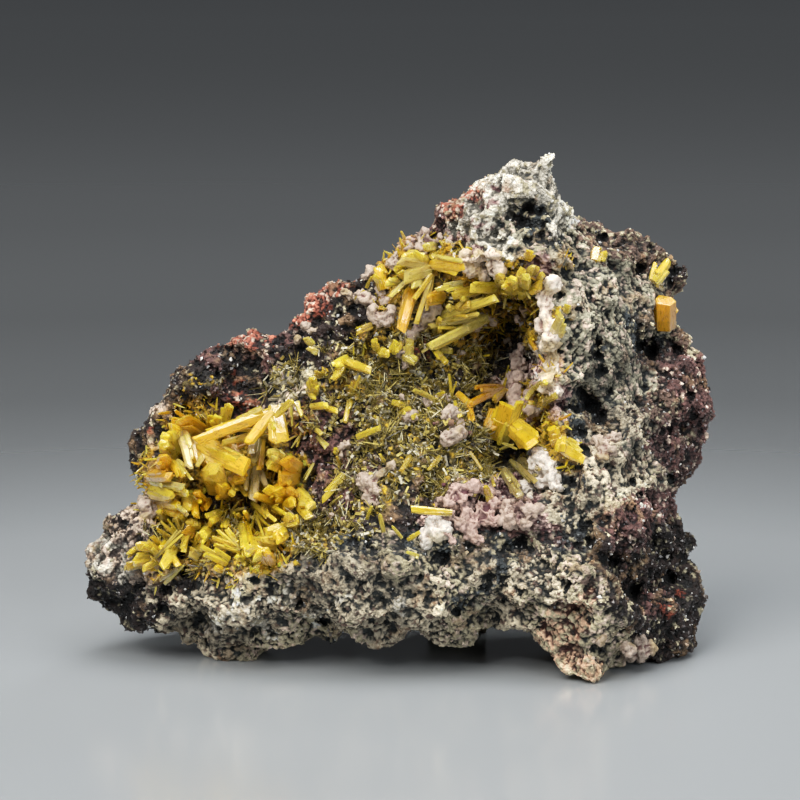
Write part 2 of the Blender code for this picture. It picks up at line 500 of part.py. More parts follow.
def stand_flat(thing):
    """Cut the feet level at Z = 0."""
    bm = bmesh.new()
    bm.from_mesh(thing.data)
    cut = bmesh.ops.bisect_plane(bm, geom=bm.verts[:] + bm.edges[:] + bm.faces[:], dist=0.0001,
                                 plane_co=(0, 0, 0), plane_no=(0, 0, -1), clear_outer=True)
    rim = [part for part in cut["geom_cut"] if isinstance(part, bmesh.types.BMEdge)]
    bmesh.ops.holes_fill(bm, edges=rim)
    bm.to_mesh(thing.data)
    bm.free()


def make_rock(home, workshop):
    """The matrix rock, bent from a slab, roughened and brought down to its triangles."""
    rock = slab(workshop)
    remesh(rock, SLAB_VOXEL)
    bend_slab(rock, display_face(), back_face())
    bm = bmesh.new()
    bm.from_mesh(rock.data)
    for x, y, radius in FEET.values():
        foot = boss((x, y), radius, 6.0)
        mesh = bpy.data.meshes.new("foot")
        foot.to_mesh(mesh)
        foot.free()
        bm.from_mesh(mesh)
        bpy.data.meshes.remove(mesh)
    drop(rock)
    rock = mesh_object("matrix_rock", bm, home)
    remesh(rock, ROCK_VOXEL)
    roughen(rock)
    fewer = rock.modifiers.new("fewer", "DECIMATE")
    triangles = sum(len(face.vertices) - 2 for face in rock.data.polygons)
    fewer.ratio = ROCK_TRIANGLES / triangles
    bake(rock)
    stand_flat(rock)
    return rock


# ---- what grows on the rock --------------------------------------------------------------------
def surface_depth(tree, across, up):
    """Depth at which a viewer's line of sight meets the rock."""
    eye = Vector(place(0.0, MIDDLE_UP, -SIGHT_DISTANCE * math.cos(SIGHT_ELEVATION)))
    aim = Vector(place(across, up, 0.0))
    hit = tree.ray_cast(eye, (aim - eye).normalized())[0]
    if hit is None:
        hit = tree.find_nearest(aim)[0]
    return hit.y


def prism(root, tip, width, thickness, roll):
    """A flattened six-sided prism from root to tip with a low chisel end, as a bmesh."""
    bm = bmesh.new()
    length = (tip - root).length
    point = min(0.35 * width, 0.3 * length)
    bmesh.ops.create_cone(bm, cap_ends=True, segments=6, radius1=0.5, radius2=0.5, depth=1.0,
                          matrix=Matrix.Translation((0, 0, 0.5)))
    head = [vert for vert in bm.verts if vert.co.z > 0.5]
    for vert in bm.verts:
        vert.co.x *= width
        vert.co.y *= thickness
        vert.co.z *= length - point
    cap = next(face for face in bm.faces if all(vert in head for vert in face.verts))
    end = bmesh.ops.extrude_discrete_faces(bm, faces=[cap])["faces"][0]
    for vert in end.verts:
        vert.co.z += point
        vert.co.x *= 0.55
        vert.co.y *= 0.18
    turn = (tip - root).to_track_quat("Z", "Y").to_matrix().to_4x4()
    bm.transform(Matrix.Translation(root) @ turn @ Matrix.Rotation(math.radians(roll), 4, "Z"))
    return bm


def ball(centre, radius, flat=1.0):
    """A coarse ball, which may be flattened along Y, as a bmesh."""
    bm = bmesh.new()
    bmesh.ops.create_icosphere(bm, subdivisions=1, radius=radius,
                               matrix=Matrix.Translation(centre) @ Matrix.Scale(flat, 4, (0, 1, 0)))
    return bm


def joined(name, parts, home, rock_room):
    """One solid from overlapping closed shapes, cut clear of the rock."""
    bm = bmesh.new()
    for part in parts:
        mesh = bpy.data.meshes.new("part")
        part.to_mesh(mesh)
        part.free()
        bm.from_mesh(mesh)
        bpy.data.meshes.remove(mesh)
    thing = mesh_object(name, bm, home)
    combine(thing, rock_room)
    return thing


def bridges(spots, radius, tree):
    """Low lumps of the rock's cover that join each spot to the next one near it."""
    parts = []
    for (across, up), (next_across, next_up) in zip(spots, spots[1:]):
        apart = math.hypot(next_across - across, next_up - up)
        if apart < BRIDGE_REACH:
            middle = (across + next_across) / 2, (up + next_up) / 2
            parts.append(ball(Vector(place(*middle, surface_depth(tree, *middle))),
                              radius + 0.25 * apart))
    return parts


def make_crystals(name, rows, tree, home, rock_room):
    """A group of prisms and blades, rooted together on the rock."""
    parts = bridges([row[:2] for row in rows], 0.7, tree)
    for across, up, tip_across, tip_up, stands_out, width, thickness, roll in rows:
        root = Vector(place(across, up, surface_depth(tree, across, up) + BURIED))
        tip_depth = surface_depth(tree, tip_across, tip_up) - stands_out
        tip = Vector(place(tip_across, tip_up, tip_depth))
        parts.append(prism(root, tip, width, thickness, roll))
        parts.append(ball(root + (tip - root).normalized() * BURIED, 0.7 * width + 0.6))
    return joined(name, parts, home, rock_room)


def make_knob(name, lumps, tree, home, rock_room):
    """A knob of overlapping round lumps on the rock."""
    parts = bridges([lump[:2] for lump in lumps], 0.4, tree)
    for across, up, radius in lumps:
        centre = Vector(place(across, up, surface_depth(tree, across, up) - 0.25 * radius))
        parts.append(ball(centre, radius))
    return joined(name, parts, home, rock_room)


def make_druse(tree, home, workshop, rock_room):
    """The crust in the bowl: a sheet on the rock with needles that stand on it."""
    half_across, half_up = DRUSE_HALF_SIZE
    bm = bmesh.new()
    bmesh.ops.create_grid(bm, x_segments=round(2 * half_across / DRUSE_CELL),
                          y_segments=round(2 * half_up / DRUSE_CELL), size=1.0)
    for vert in bm.verts:
        side, rise = vert.co.x, vert.co.y
        turn = math.atan2(rise, side)
        ragged = 1.0 + 0.11 * math.sin(3 * turn + 0.6) + 0.08 * math.sin(7 * turn)
        across = DRUSE_CENTRE[0] + ragged * half_across * side * math.sqrt(1 - rise ** 2 / 2)
        up = DRUSE_CENTRE[1] + ragged * half_up * rise * math.sqrt(1 - side ** 2 / 2)
        vert.co = place(across, up, surface_depth(tree, across, up) - DRUSE_THICKNESS)
    sheet = mesh_object("sheet", bm, workshop)
    thicken = sheet.modifiers.new("thick", "SOLIDIFY")
    thicken.thickness = DRUSE_THICKNESS + BURIED
    thicken.offset = -1.0
    bake(sheet)
    crust = bmesh.new()
    crust.from_mesh(sheet.data)
    drop(sheet)
    chance = np.random.default_rng(7)
    parts = [crust]
    for _ in range(NEEDLES):
        reach = math.sqrt(chance.uniform(0.0, 0.8))
        turn = chance.uniform(0.0, math.tau)
        across = DRUSE_CENTRE[0] + reach * half_across * math.cos(turn)
        up = DRUSE_CENTRE[1] + reach * half_up * math.sin(turn)
        root = Vector(place(across, up, surface_depth(tree, across, up) + 0.2))
        way = Vector((chance.normal(0, 0.6), -1.0, chance.normal(0.1, 0.6))).normalized()
        length = chance.uniform(*NEEDLE_LENGTHS)
        needle = bmesh.new()
        bmesh.ops.create_cone(needle, cap_ends=True, segments=3, radius1=NEEDLE_RADIUS,
                              radius2=0.4 * NEEDLE_RADIUS, depth=length,
                              matrix=Matrix.Translation((0, 0, length / 2)))
        needle.transform(Matrix.Translation(root) @ way.to_track_quat("Z", "Y").to_matrix().to_4x4())
        parts.append(needle)
    return joined("needle_druse", parts, home, rock_room)


def boxes_meet(thing, other):
    """Whether two objects' boxes overlap."""
    mine, theirs = coordinates(thing.data), coordinates(other.data)
    return bool(np.all(mine.min(axis=0) < theirs.max(axis=0))
                and np.all(theirs.min(axis=0) < mine.max(axis=0)))


def clear_of_each_other(pieces, workshop):
    """Cut each piece clear of those before it, and bring it down to its triangles."""
    rooms = [grown(piece, GAP, workshop) for piece, _, _ in pieces]
    for index, (piece, _, triangles) in enumerate(pieces):
        for room in rooms[:index]:
            if boxes_meet(piece, room):
                cut_clear(piece, room)
        largest_body(piece)
        thin_out(piece, triangles)
        largest_body(piece)
    for room in rooms:
        drop(room)


def finish(thing, look, shift):
    """Triangles, metres, the frame's origin and the material."""
    bm = bmesh.new()
    bm.from_mesh(thing.data)
    bmesh.ops.triangulate(bm, faces=bm.faces)
    bm.to_mesh(thing.data)
    bm.free()
    set_coordinates(thing.data, (coordinates(thing.data) + shift) * MM)
    thing.data.materials.clear()
    thing.data.materials.append(material(thing.name, *look))
    for polygon in thing.data.polygons:
        polygon.use_smooth = False


def main():
    """Model the specimen."""
    for thing in list(bpy.data.objects):
        bpy.data.objects.remove(thing)
    home = collection("mimetite_specimen")
    workshop = collection("workshop", hidden=True)

    rock = make_rock(home, workshop)
    largest_body(rock)
    rock_bm = bmesh.new()
    rock_bm.from_mesh(rock.data)
    tree = BVHTree.FromBMesh(rock_bm)
    rock_bm.free()
    rock_room = grown(rock, GAP, workshop)

    pieces = []
    for name, rows in CRYSTAL_GROUPS.items():
        group = make_crystals(name, rows, tree, home, rock_room)
        pieces.append((group, MIMETITE_LOOK, CRYSTAL_TRIANGLES * len(rows)))
    for name, lumps in KNOBS.items():
        knob = make_knob(name, lumps, tree, home, rock_room)
        pieces.append((knob, KNOB_LOOK, KNOB_TRIANGLES * len(lumps)))
    druse = make_druse(tree, home, workshop, rock_room)
    pieces.append((druse, DRUSE_LOOK, DRUSE_TRIANGLES))
    for piece, _, _ in pieces:
        largest_body(piece)
    drop(rock_room)
    clear_of_each_other(pieces, workshop)

    everything = [(rock, ROCK_LOOK)] + [(piece, look) for piece, look, _ in pieces]
    points = np.vstack([coordinates(thing.data) for thing, _ in everything])
    middle = (points.min(axis=0) + points.max(axis=0)) / 2
    for thing, look in everything:
        finish(thing, look, np.array([-middle[0], -middle[1], 0.0]))


main()
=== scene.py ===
"""Looks for a mimetite specimen: a broken piece of vuggy gossan with a bowl in its display face,
lined with fine olive needles and set with yellow prisms and blades and pale carbonate knobs.

Lengths are worked out in millimetres and written to the meshes in metres, in the frame of the
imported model: +X right, +Z up, display face towards -Y, standing on Z = 0.
"""

import logging
import math
from dataclasses import dataclass, field, replace
from enum import Enum

import bmesh
import bpy
import numpy as np
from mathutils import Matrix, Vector
from mathutils.bvhtree import BVHTree

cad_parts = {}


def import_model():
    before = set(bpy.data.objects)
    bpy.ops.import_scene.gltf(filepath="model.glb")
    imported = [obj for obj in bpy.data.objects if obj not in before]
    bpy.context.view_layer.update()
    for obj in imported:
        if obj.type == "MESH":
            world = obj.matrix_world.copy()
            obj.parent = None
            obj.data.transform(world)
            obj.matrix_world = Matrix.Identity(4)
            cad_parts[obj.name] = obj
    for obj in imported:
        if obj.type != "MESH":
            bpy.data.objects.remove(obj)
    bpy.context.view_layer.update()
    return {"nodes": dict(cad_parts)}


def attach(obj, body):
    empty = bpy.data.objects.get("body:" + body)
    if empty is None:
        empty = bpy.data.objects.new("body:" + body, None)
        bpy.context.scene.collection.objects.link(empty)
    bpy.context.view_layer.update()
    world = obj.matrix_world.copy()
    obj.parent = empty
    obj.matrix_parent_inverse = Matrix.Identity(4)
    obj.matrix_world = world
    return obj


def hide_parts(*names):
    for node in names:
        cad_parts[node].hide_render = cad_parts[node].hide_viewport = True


LOG = logging.getLogger("specimen")
MM = 0.001
LOWEST = 0.02  # millimetres from the floor to the lowest corner of a grain or crystal
# What the repeatable random numbers are mixed with: primes, and steps of a shift and a factor.
WORD = 2 ** 32
CELL_PRIMES = (73856093, 19349663, 83492791)
SEED_PRIME = 2654435761
MIXES = ((15, 2246822519), (13, 3266489917))


def linear(colour: str) -> np.ndarray:
    """Turn an sRGB hex colour into linear red, green and blue.

    Args:
        colour: Seven characters such as "#aabbcc".

    Returns:
        Three numbers from 0 to 1.
    """
    coded = np.array([int(colour[k:k + 2], 16) / 255.0 for k in (1, 3, 5)])
    return np.where(coded <= 0.04045, coded / 12.92, ((coded + 0.055) / 1.055) ** 2.4)


class Tint(Enum):
    """Colours of the rock's own minerals and stains."""

    CREAM = "#e4dccb"  # clean carbonate on the peak
    PALE = "#beb198"  # granular carbonate crust
    STONE = "#a89e82"
    TEAL = "#948f7b"  # porous silica of the right wall
    SLATE = "#33383a"  # blue-black oxide in the crevices
    PINK = "#bfa298"
    SALMON = "#e0b698"
    FLESH = "#cfb9a6"
    PLUM = "#593e3a"  # purple-brown hematite
    UMBER = "#5d4a40"
    BLACK = "#211714"  # glossy goethite
    OLIVE = "#5b4f27"
    OCHRE = "#be982c"  # limonite stain
    RUST = "#6e3222"
    BRICK = "#a8614e"


TINTS = list(Tint)


class Tone(Enum):
    """Colours of mimetite, from the deepest to the palest."""

    EMBER = "#e0a000"
    AMBER = "#e4a614"
    HONEY = "#eebc1c"
    LEMON = "#e9c73a"
    OLIVE = "#c4a32b"
    STRAW = "#e0c862"
    # PEARL: partly a pale tone of mimetite, partly a painted highlight on crystals whose faces show white.
    PEARL = "#e6d080"
    SMOKE = "#a8945c"


# A crystal: its root's place across, up and out of the rock, the same for its tip, its width,
# thickness and turn about its length in degrees, and its tone.
CrystalRow = tuple[float, float, float, float, float, float, float, float, float, Tone]
# A round spot on the display face: across, up and radius, then perhaps a depth or a density.
Spot = tuple[float, ...]


def table(text: str) -> list[tuple]:
    """Read a table of given places, in millimetres.

    Args:
        text: Rows that stand apart by commas; each is numbers, then perhaps the name of a tone.

    Returns:
        One tuple for each row.
    """
    return [tuple(Tone[word] if word.isalpha() else float(word) for word in row.split())
            for row in text.split(",")]


CRYSTAL_ROWS: dict[str, list[CrystalRow]] = {
    "left_cluster": table("""
    -12.8 26.3 3.5 -20.4 23.6 7.2 1.4 .8 12 HONEY, -13.8 26.8 4.6 -16.2 25.7 6.4 .9 .6 -20 LEMON,
    -13.4 24.6 3 -17.8 23.4 6.4 .8 .5 15 LEMON, -14 24.1 2 -16.8 22.8 5 .9 .5 -30 AMBER,
    -20 23.4 3.5 -15.3 21 7 2.3 .8 8 HONEY, -17.4 23.9 2.5 -15.3 20.7 5.6 1.3 .7 -25 AMBER,
    -18.4 23.1 5 -16 21.9 7.2 .9 .4 20 LEMON, -19.4 22.5 3.5 -20.3 21.1 6.4 .7 .6 30 STRAW,
    -18.08 18.8 1 -18.9 20.71 7 2.76 2.21 25 LEMON, -17.39 18.19 2 -18.08 19.23 6.1 1.66 1.36 60 HONEY,
    -16.4 20.7 1.5 -16.06 19.58 5.5 1.47 1.02 20 HONEY, -16.8 19.5 1 -16.8 18.3 5.4 1 .8 50 LEMON,
    -22.4 22.5 .5 -22.96 24.63 5.7 2.02 1.53 20 LEMON, -22.65 22.39 0 -23.78 23.2 5.3 1.84 1.44 50 LEMON,
    -23.12 20.75 0 -23.86 22.09 5 2.02 1.53 10 AMBER, -22 23.7 1 -22.45 25.04 5.3 1.29 1.02 40 HONEY,
    -21.8 24.3 3.6 -21 20.9 7.2 1.2 .9 20 PEARL, -21 23.7 1.5 -20.4 21.5 5 1.2 .8 -30 HONEY,
    -22.4 21.6 4 -20.8 19.7 6.6 .6 .4 20 STRAW, -22.8 21.5 3 -21.6 19.9 5.6 .9 .5 -20 HONEY,
    -24.8 19.7 1.5 -21.6 19 6.4 1.1 .7 15 PEARL, -24.2 19.1 1 -21.2 18.3 5.8 1.1 .7 -20 LEMON,
    -25 20 1 -23 20 5 1.3 .9 40 AMBER, -24.6 18.9 .5 -22.8 18 5 1.7 1.3 15 LEMON,
    -24 17.7 0 -22.21 17.14 4.1 1.56 1.1 40 HONEY, -22.8 17.5 3.2 -21.4 16.5 5.4 .6 .5 10 PEARL,
    -20.7 18.1 1 -20.4 16.2 4.8 .9 .7 20 HONEY, -21.4 18.1 1 -21.2 16.9 4.6 1.1 .9 50 LEMON,
    -19.3 17.3 .5 -20.3 18.5 4.4 1 .7 20 AMBER, -19 17.7 0 -19.45 16.8 3.1 .92 .6 50 AMBER,
    -19.2 24.1 1 -21.8 25.9 5.6 1.6 .4 10 AMBER, -20 24.5 .6 -22.8 25.7 4.2 1.2 .4 -15 AMBER,
    -18.6 24.7 1.5 -18.2 26.1 5.2 1.4 .5 10 LEMON, -17.8 25.1 1.5 -17 27.2 5.4 1.2 .5 0 LEMON,
    -18.2 24.9 2 -18.8 25.6 5 .8 .5 20 LEMON, -14.4 20.7 1 -14.8 17.7 5.6 1.4 .9 15 SMOKE,
    -14.2 24.1 1.5 -14.6 21.5 4.8 1.3 .8 -20 SMOKE, -13.8 23.7 1 -14.1 20.7 4 .8 .6 30 AMBER,
    -15.1 21.5 1.5 -15.4 18.7 4.4 .6 .5 40 SMOKE, -12.4 26.9 2 -11.8 23.5 6.2 1.7 .9 10 HONEY,
    -13 26.5 3 -12.6 24.7 5.6 1 .7 -30 LEMON, -12.4 26.1 4.2 -10.7 27.6 5.4 .8 .5 10 LEMON,
    -10.4 27.5 4.6 -9.8 26.1 5.4 .6 .4 10 LEMON, -10.8 27.3 4.8 -10.8 25.1 5.2 .3 .2 0 STRAW,
    -14 24.9 2 -12.8 24.5 5 .6 .4 10 LEMON, -11.8 21.9 1 -12.92 22.57 6.5 1.66 1.19 40 PEARL,
    -11.28 21.02 .5 -12.9 21.42 6.6 2.21 1.7 15 LEMON,
    -10.38 20.96 .5 -11.54 21.73 5.4 1.84 1.36 30 AMBER,
    -10.52 19.93 .5 -12.04 19.75 5.6 2.02 1.36 10 AMBER, -11.5 17.7 0 -13.4 18.9 6.2 1.5 1.2 15 HONEY,
    -10.8 18.1 0 -12.37 18.66 5.7 1.84 1.36 40 HONEY, -10.32 17.55 0 -10.94 18.79 5.2 1.84 1.28 60 AMBER,
    -10.2 18.5 1.5 -8.9 17 5.4 1.4 .9 10 LEMON, -10 17.2 .5 -9.1 15.9 4.6 1.5 1.1 30 OLIVE,
    -11.7 16.95 .5 -10.58 17.51 4.4 1.66 1.02 20 HONEY, -11.6 14.7 .5 -13.39 14.48 4.2 1.84 1.36 20 LEMON,
    -12.4 13.3 .5 -13.97 13.52 4.2 1.84 1.36 40 LEMON, -11.45 14.25 .5 -12.23 13.47 3.7 1.47 1.1 10 HONEY,
    -13.38 12.3 .5 -14.54 12.07 3.9 1.56 1.1 20 LEMON, -12.88 11.46 0 -13.38 12.45 3.1 1.47 1.02 50 AMBER,
    -11.08 15.25 .5 -10.12 15.81 3.5 1.47 1.02 10 LEMON, -14.8 17.5 1 -12.4 15.6 4.2 .5 .3 10 LEMON,
    -14.4 16.5 1 -12.8 14.9 4 .4 .3 30 LEMON, -13.6 17.5 1.5 -13.2 16.1 4.4 .5 .3 10 LEMON,
    -12.8 17.1 1 -11.4 16.3 4.2 .5 .3 20 LEMON"""),
    "left_lower": table("""
    -15.9 15.7 1 -15.1 12.1 4.4 .8 .6 15 LEMON, -15.2 15.5 .6 -14.6 13.1 3.6 .6 .5 40 HONEY,
    -14.8 13.7 .6 -13.8 12.5 3.6 .7 .5 10 LEMON, -16 15.9 1.5 -16.22 16.35 3.1 .64 .51 10 LEMON,
    -16.2 12.9 .8 -18.8 14 3.8 .7 .4 10 LEMON, -16.2 12.7 .8 -18.2 14.7 3.8 .7 .4 20 LEMON,
    -16 12.7 .8 -17.2 14.8 3.6 .6 .4 0 LEMON, -16 12.5 .6 -18.6 13.3 3.4 .6 .4 10 LEMON,
    -17.2 11.5 .6 -19.9 13.1 3.6 .9 .5 10 LEMON, -17.4 11.7 .5 -19.5 12.4 3.2 .8 .5 30 OLIVE,
    -18.33 15.95 .5 -18.94 15.5 3 1.01 .76 20 LEMON, -17.29 15.54 .5 -17.42 15 2.6 .74 .6 40 LEMON,
    -18 16.5 .5 -19.4 16.1 3.2 .8 .6 10 LEMON, -19.17 14.73 .5 -19.8 14.1 3.2 1.2 .85 20 LEMON,
    -20.34 15.06 .5 -21.15 15.6 3.2 1.29 .85 30 LEMON, -20.75 14.48 .3 -21.54 14.75 2.6 1.1 .76 10 AMBER,
    -22.2 13.9 .6 -23.9 15.6 3.4 .4 .3 0 LEMON, -22 14.1 .6 -23.2 15.8 3.4 .4 .3 20 LEMON,
    -22.4 13.7 .6 -24.3 14.9 3.2 .4 .3 10 OLIVE, -21.8 14.3 .6 -22.4 15.9 3.2 .5 .3 0 LEMON,
    -21.4 15.5 .4 -22.8 16.5 3.4 1 .7 10 LEMON, -23.4 15.7 .4 -24.07 16.6 2.6 1.01 .68 30 LEMON,
    -22.6 12.9 1 -23.8 11 3.8 1.4 .5 10 LEMON, -23 12.5 .6 -22.2 11.1 3 .8 .5 20 HONEY,
    -24.8 11.6 1 -21.7 14.3 3.6 .4 .3 0 STRAW, -21.3 14.3 1 -21.6 12.5 3.2 .7 .4 10 LEMON,
    -23.5 9.3 .6 -21.6 11.2 2.4 .4 .2 0 STRAW, -24 9.7 .6 -22.2 10.9 2.2 .4 .2 20 SMOKE,
    -20 12.1 .4 -21 12.8 2.8 1 .6 10 OLIVE, -20.4 12.9 .4 -19.6 12.9 2.6 .8 .5 30 OLIVE,
    -17.8 10.7 .3 -18.47 10.92 1.9 .83 .6 10 HONEY, -16.8 16.5 .5 -15.6 16.9 2.8 .4 .3 0 STRAW,
    -17.4 13.7 .3 -16.6 14.3 3 .5 .4 0 LEMON, -15.6 11.7 .3 -16.4 12.1 2.6 .7 .5 10 LEMON"""),
    "left_tail": table("""
    -24.4 12.9 .4 -26.4 13.1 3 1.3 .7 10 LEMON, -24.8 12.1 .4 -26.6 11.9 2.8 1.2 .7 20 LEMON,
    -25.4 11.5 .4 -27.3 11.1 2.6 1.1 .6 10 OLIVE, -24.4 11.5 .4 -25.6 10.9 2.6 .9 .5 30 LEMON,
    -24.2 12.5 .4 -25.2 13.6 2.6 .9 .6 0 LEMON, -23.8 13.2 .4 -24.8 14.1 2.4 .7 .5 20 OLIVE,
    -26.4 12.9 .2 -27.2 12.2 2 .8 .6 10 LEMON, -23.2 13.7 .3 -24 12.9 2.6 .6 .4 10 HONEY"""),
    "upper_group": table("""
    1.2 38.7 1 .1 34.6 4.8 1.4 .9 12 AMBER, .4 39.4 2.6 -1 38 4 .6 .5 15 PEARL,
    3.1 40.2 1 1.6 35.3 4.2 .8 .4 10 OLIVE, 2.8 40.7 .5 .4 39.9 3.6 1.6 .9 10 STRAW,
    2.6 41.5 .2 .81 41.5 3.1 1.56 .85 30 LEMON, 2 40.9 .2 1.6 42.5 3.4 1.4 .9 10 LEMON,
    2.4 39.7 .2 1.2 39.1 3 1.2 .8 20 STRAW, .8 39.7 .4 0 40.5 3 1 .7 10 LEMON,
    3 41.3 .5 6.4 40.9 3.2 1.4 .6 10 HONEY, 3.6 41.9 .4 6.2 41.6 3 .7 .4 30 STRAW,
    6.2 39.3 .4 3.6 38.7 3.2 .8 .5 10 STRAW, 8 38.7 .4 5.2 38.1 3.2 1.2 .7 20 OLIVE,
    4.4 38.1 0 2.8 37.7 3 1.4 .8 10 AMBER, 9.6 38.9 .4 7 38.9 3.2 1 .6 10 LEMON,
    4 35.9 .4 9.7 37.9 3.8 1.1 .7 10 STRAW, 4.6 36.5 .2 7 37.3 3 .9 .6 40 OLIVE,
    8.6 35.8 1 3.1 33.1 4.4 1.3 .8 10 STRAW, 7 34.7 .8 3.4 32.9 4 .8 .6 40 LEMON,
    3.4 32.9 1 4.6 31.4 3.6 .7 .4 10 LEMON, 4 32.7 .6 5.2 32.5 3 .8 .5 30 STRAW,
    -1.6 38.7 .5 -2.2 40.9 2.8 1.2 1 10 HONEY, -1.8 39.3 .3 -2.6 40.1 2.4 .9 .8 40 LEMON,
    -.2 39.5 .5 -1.4 39.3 2.6 .8 .6 10 STRAW, .4 40.1 .2 -.2 41.1 2.6 .9 .7 20 LEMON,
    3.6 43.1 0 2.4 42.9 2.4 1.2 .8 10 STRAW, 1.8 42.1 0 .2 41.9 2.6 1.1 .8 10 LEMON,
    6 35.9 .2 4.8 37.1 2.8 .8 .6 10 STRAW, 7.4 36.5 .2 6.2 37.9 2.8 .8 .6 10 LEMON,
    3.6 34.5 .3 4 35.9 2.6 .7 .5 10 OLIVE, .8 31.7 .2 1 33.7 2.4 1.2 1 10 STRAW,
    .4 32.1 .2 1.52 31.43 1.9 1.1 .76 40 STRAW"""),
    "prism_centre": table("""
    -5.6 31.5 1 -2.9 30.6 3 1.2 .9 10 LEMON, -5.2 31.8 1 -6.7 29.7 2.8 1.1 .8 10 LEMON,
    -4.8 31.1 .6 -5.8 31.7 2.6 .9 .8 10 LEMON"""),
    "prism_left_centre": table("""
    -8.6 28.5 .4 -9.1 29.8 2.6 1.2 1 10 LEMON, -9.2 28.7 .2 -8.2 28.9 2.2 .9 .8 40 LEMON,
    -7.8 30.1 .2 -8.47 30.55 1.6 .74 .6 10 OLIVE"""),
    "right_blades": table("""
    9.8 23.7 1.5 10.8 27.2 6.2 2.4 .8 10 HONEY, 10.3 23.3 1.5 12 27.5 5.4 1.4 .7 -25 LEMON,
    10.6 25.7 1.5 13.3 23.1 5.6 1.6 .8 10 HONEY, 10.4 25.1 1 12.4 23 5 1.2 .7 -25 AMBER,
    8.8 24.9 1 9.7 26.9 4.4 1 .6 10 AMBER, 11.2 26.3 2 12.8 24.7 5 .8 .5 10 LEMON,
    10.2 28.9 1 7 27.3 4.4 .9 .6 10 AMBER, 5.8 28.4 1.5 7.2 27.1 4.2 .7 .5 10 AMBER,
    6.8 27.7 1.5 7.4 25.6 4 .7 .5 10 AMBER, 10.4 28.7 .5 9.2 27.9 3.2 .8 .6 20 HONEY,
    10.2 23.4 2 11.7 22.8 4.2 .3 .2 0 STRAW, 10 22.7 1.5 11.4 23.3 3.6 .3 .2 0 STRAW,
    10.4 20.6 .8 12 18.1 3.8 1 .8 15 SMOKE, 11.2 21.5 .6 13.6 19.5 3 .9 .7 10 SMOKE,
    12 21.9 .4 14 20.7 2.8 .8 .6 10 SMOKE, 10.5 20.3 2.2 11 19.6 3.6 .4 .3 10 PEARL,
    13 33.7 .4 13.6 32.7 1.8 .6 .5 10 AMBER, 12.7 34.7 .4 13.3 33.7 1.8 .5 .4 10 HONEY,
    9 17.7 .4 8.6 19.1 2.2 .8 .6 10 LEMON"""),
    "wall_crystals": table("""
    15.6 23.1 .4 15.1 24.9 2.8 1.3 1 10 HONEY, 16 22.5 .2 16 23.9 2.4 1.2 .8 30 HONEY,
    16 23.1 .4 18.4 21.7 2.4 1.4 .6 10 HONEY, 16.8 23.7 .3 18 22.5 2 .9 .5 10 LEMON,
    15 24.5 .2 14.6 25.5 2 .8 .6 10 LEMON, 15.6 34.3 .2 16.2 35.9 1.8 1.4 1 10 STRAW,
    16.6 36.5 .2 16.82 37.17 1.4 .92 .68 10 LEMON, 13.6 28.9 .2 14.6 29.5 2 .9 .7 10 STRAW,
    14.5 27.5 .2 15.6 28.1 2 .9 .7 30 STRAW"""),
    "ridge_crust": table("""
    10 39.27 .4 10 40.24 1.9 1.29 1.02 10 STRAW, 11.2 38.7 .4 11.2 39.82 2.3 1.47 1.1 40 LEMON,
    12.6 39.09 .4 12.6 40.13 2.1 1.38 1.1 20 STRAW, 13.39 38.69 .3 14.08 39.38 1.8 1.29 1.02 60 HONEY,
    11.95 40 .3 12.29 40.68 1.9 1.01 .85 30 LEMON, 10.26 38.84 .3 10.8 38.3 1.9 1.01 .85 50 LEMON,
    12.93 40.37 .3 13.31 41.11 1.9 1.1 .85 0 STRAW, 12.2 38.74 .3 12.2 37.98 1.8 1.01 .85 30 LEMON,
    9.4 39.1 .3 8.95 38.65 1.8 .83 .68 30 LEMON, 12.79 41.88 .2 13.03 42.6 1.6 1.01 .68 0 HONEY,
    11.68 38.78 .4 11.28 38.38 2.3 .74 .6 10 LEMON, 13.94 39.78 .3 14.19 40.28 1.9 .74 .6 20 LEMON"""),
    "block_back_right": table("""
    26.4 35 -.4 26.4 37.7 2 2.5 2 10 EMBER, 26.8 35.5 -.5 27 37.4 2 1.4 1.2 40 EMBER"""),
    "prism_back_right": table("""
    25.3 39.5 .2 26.9 41.7 2.4 1.1 .9 10 LEMON, 26 38.9 0 25.6 40.5 1.6 .8 .7 30 OLIVE"""),
    "prism_top_right": table("""
    19.4 41.5 0 19.7 42.8 2 1.3 1 10 HONEY, 20.2 41.5 0 20.4 42.5 1.6 .8 .7 30 LEMON"""),
    "prism_rim": table("""
    -1.6 40.1 .2 -2.1 41.1 1.4 .9 .8 10 HONEY"""),
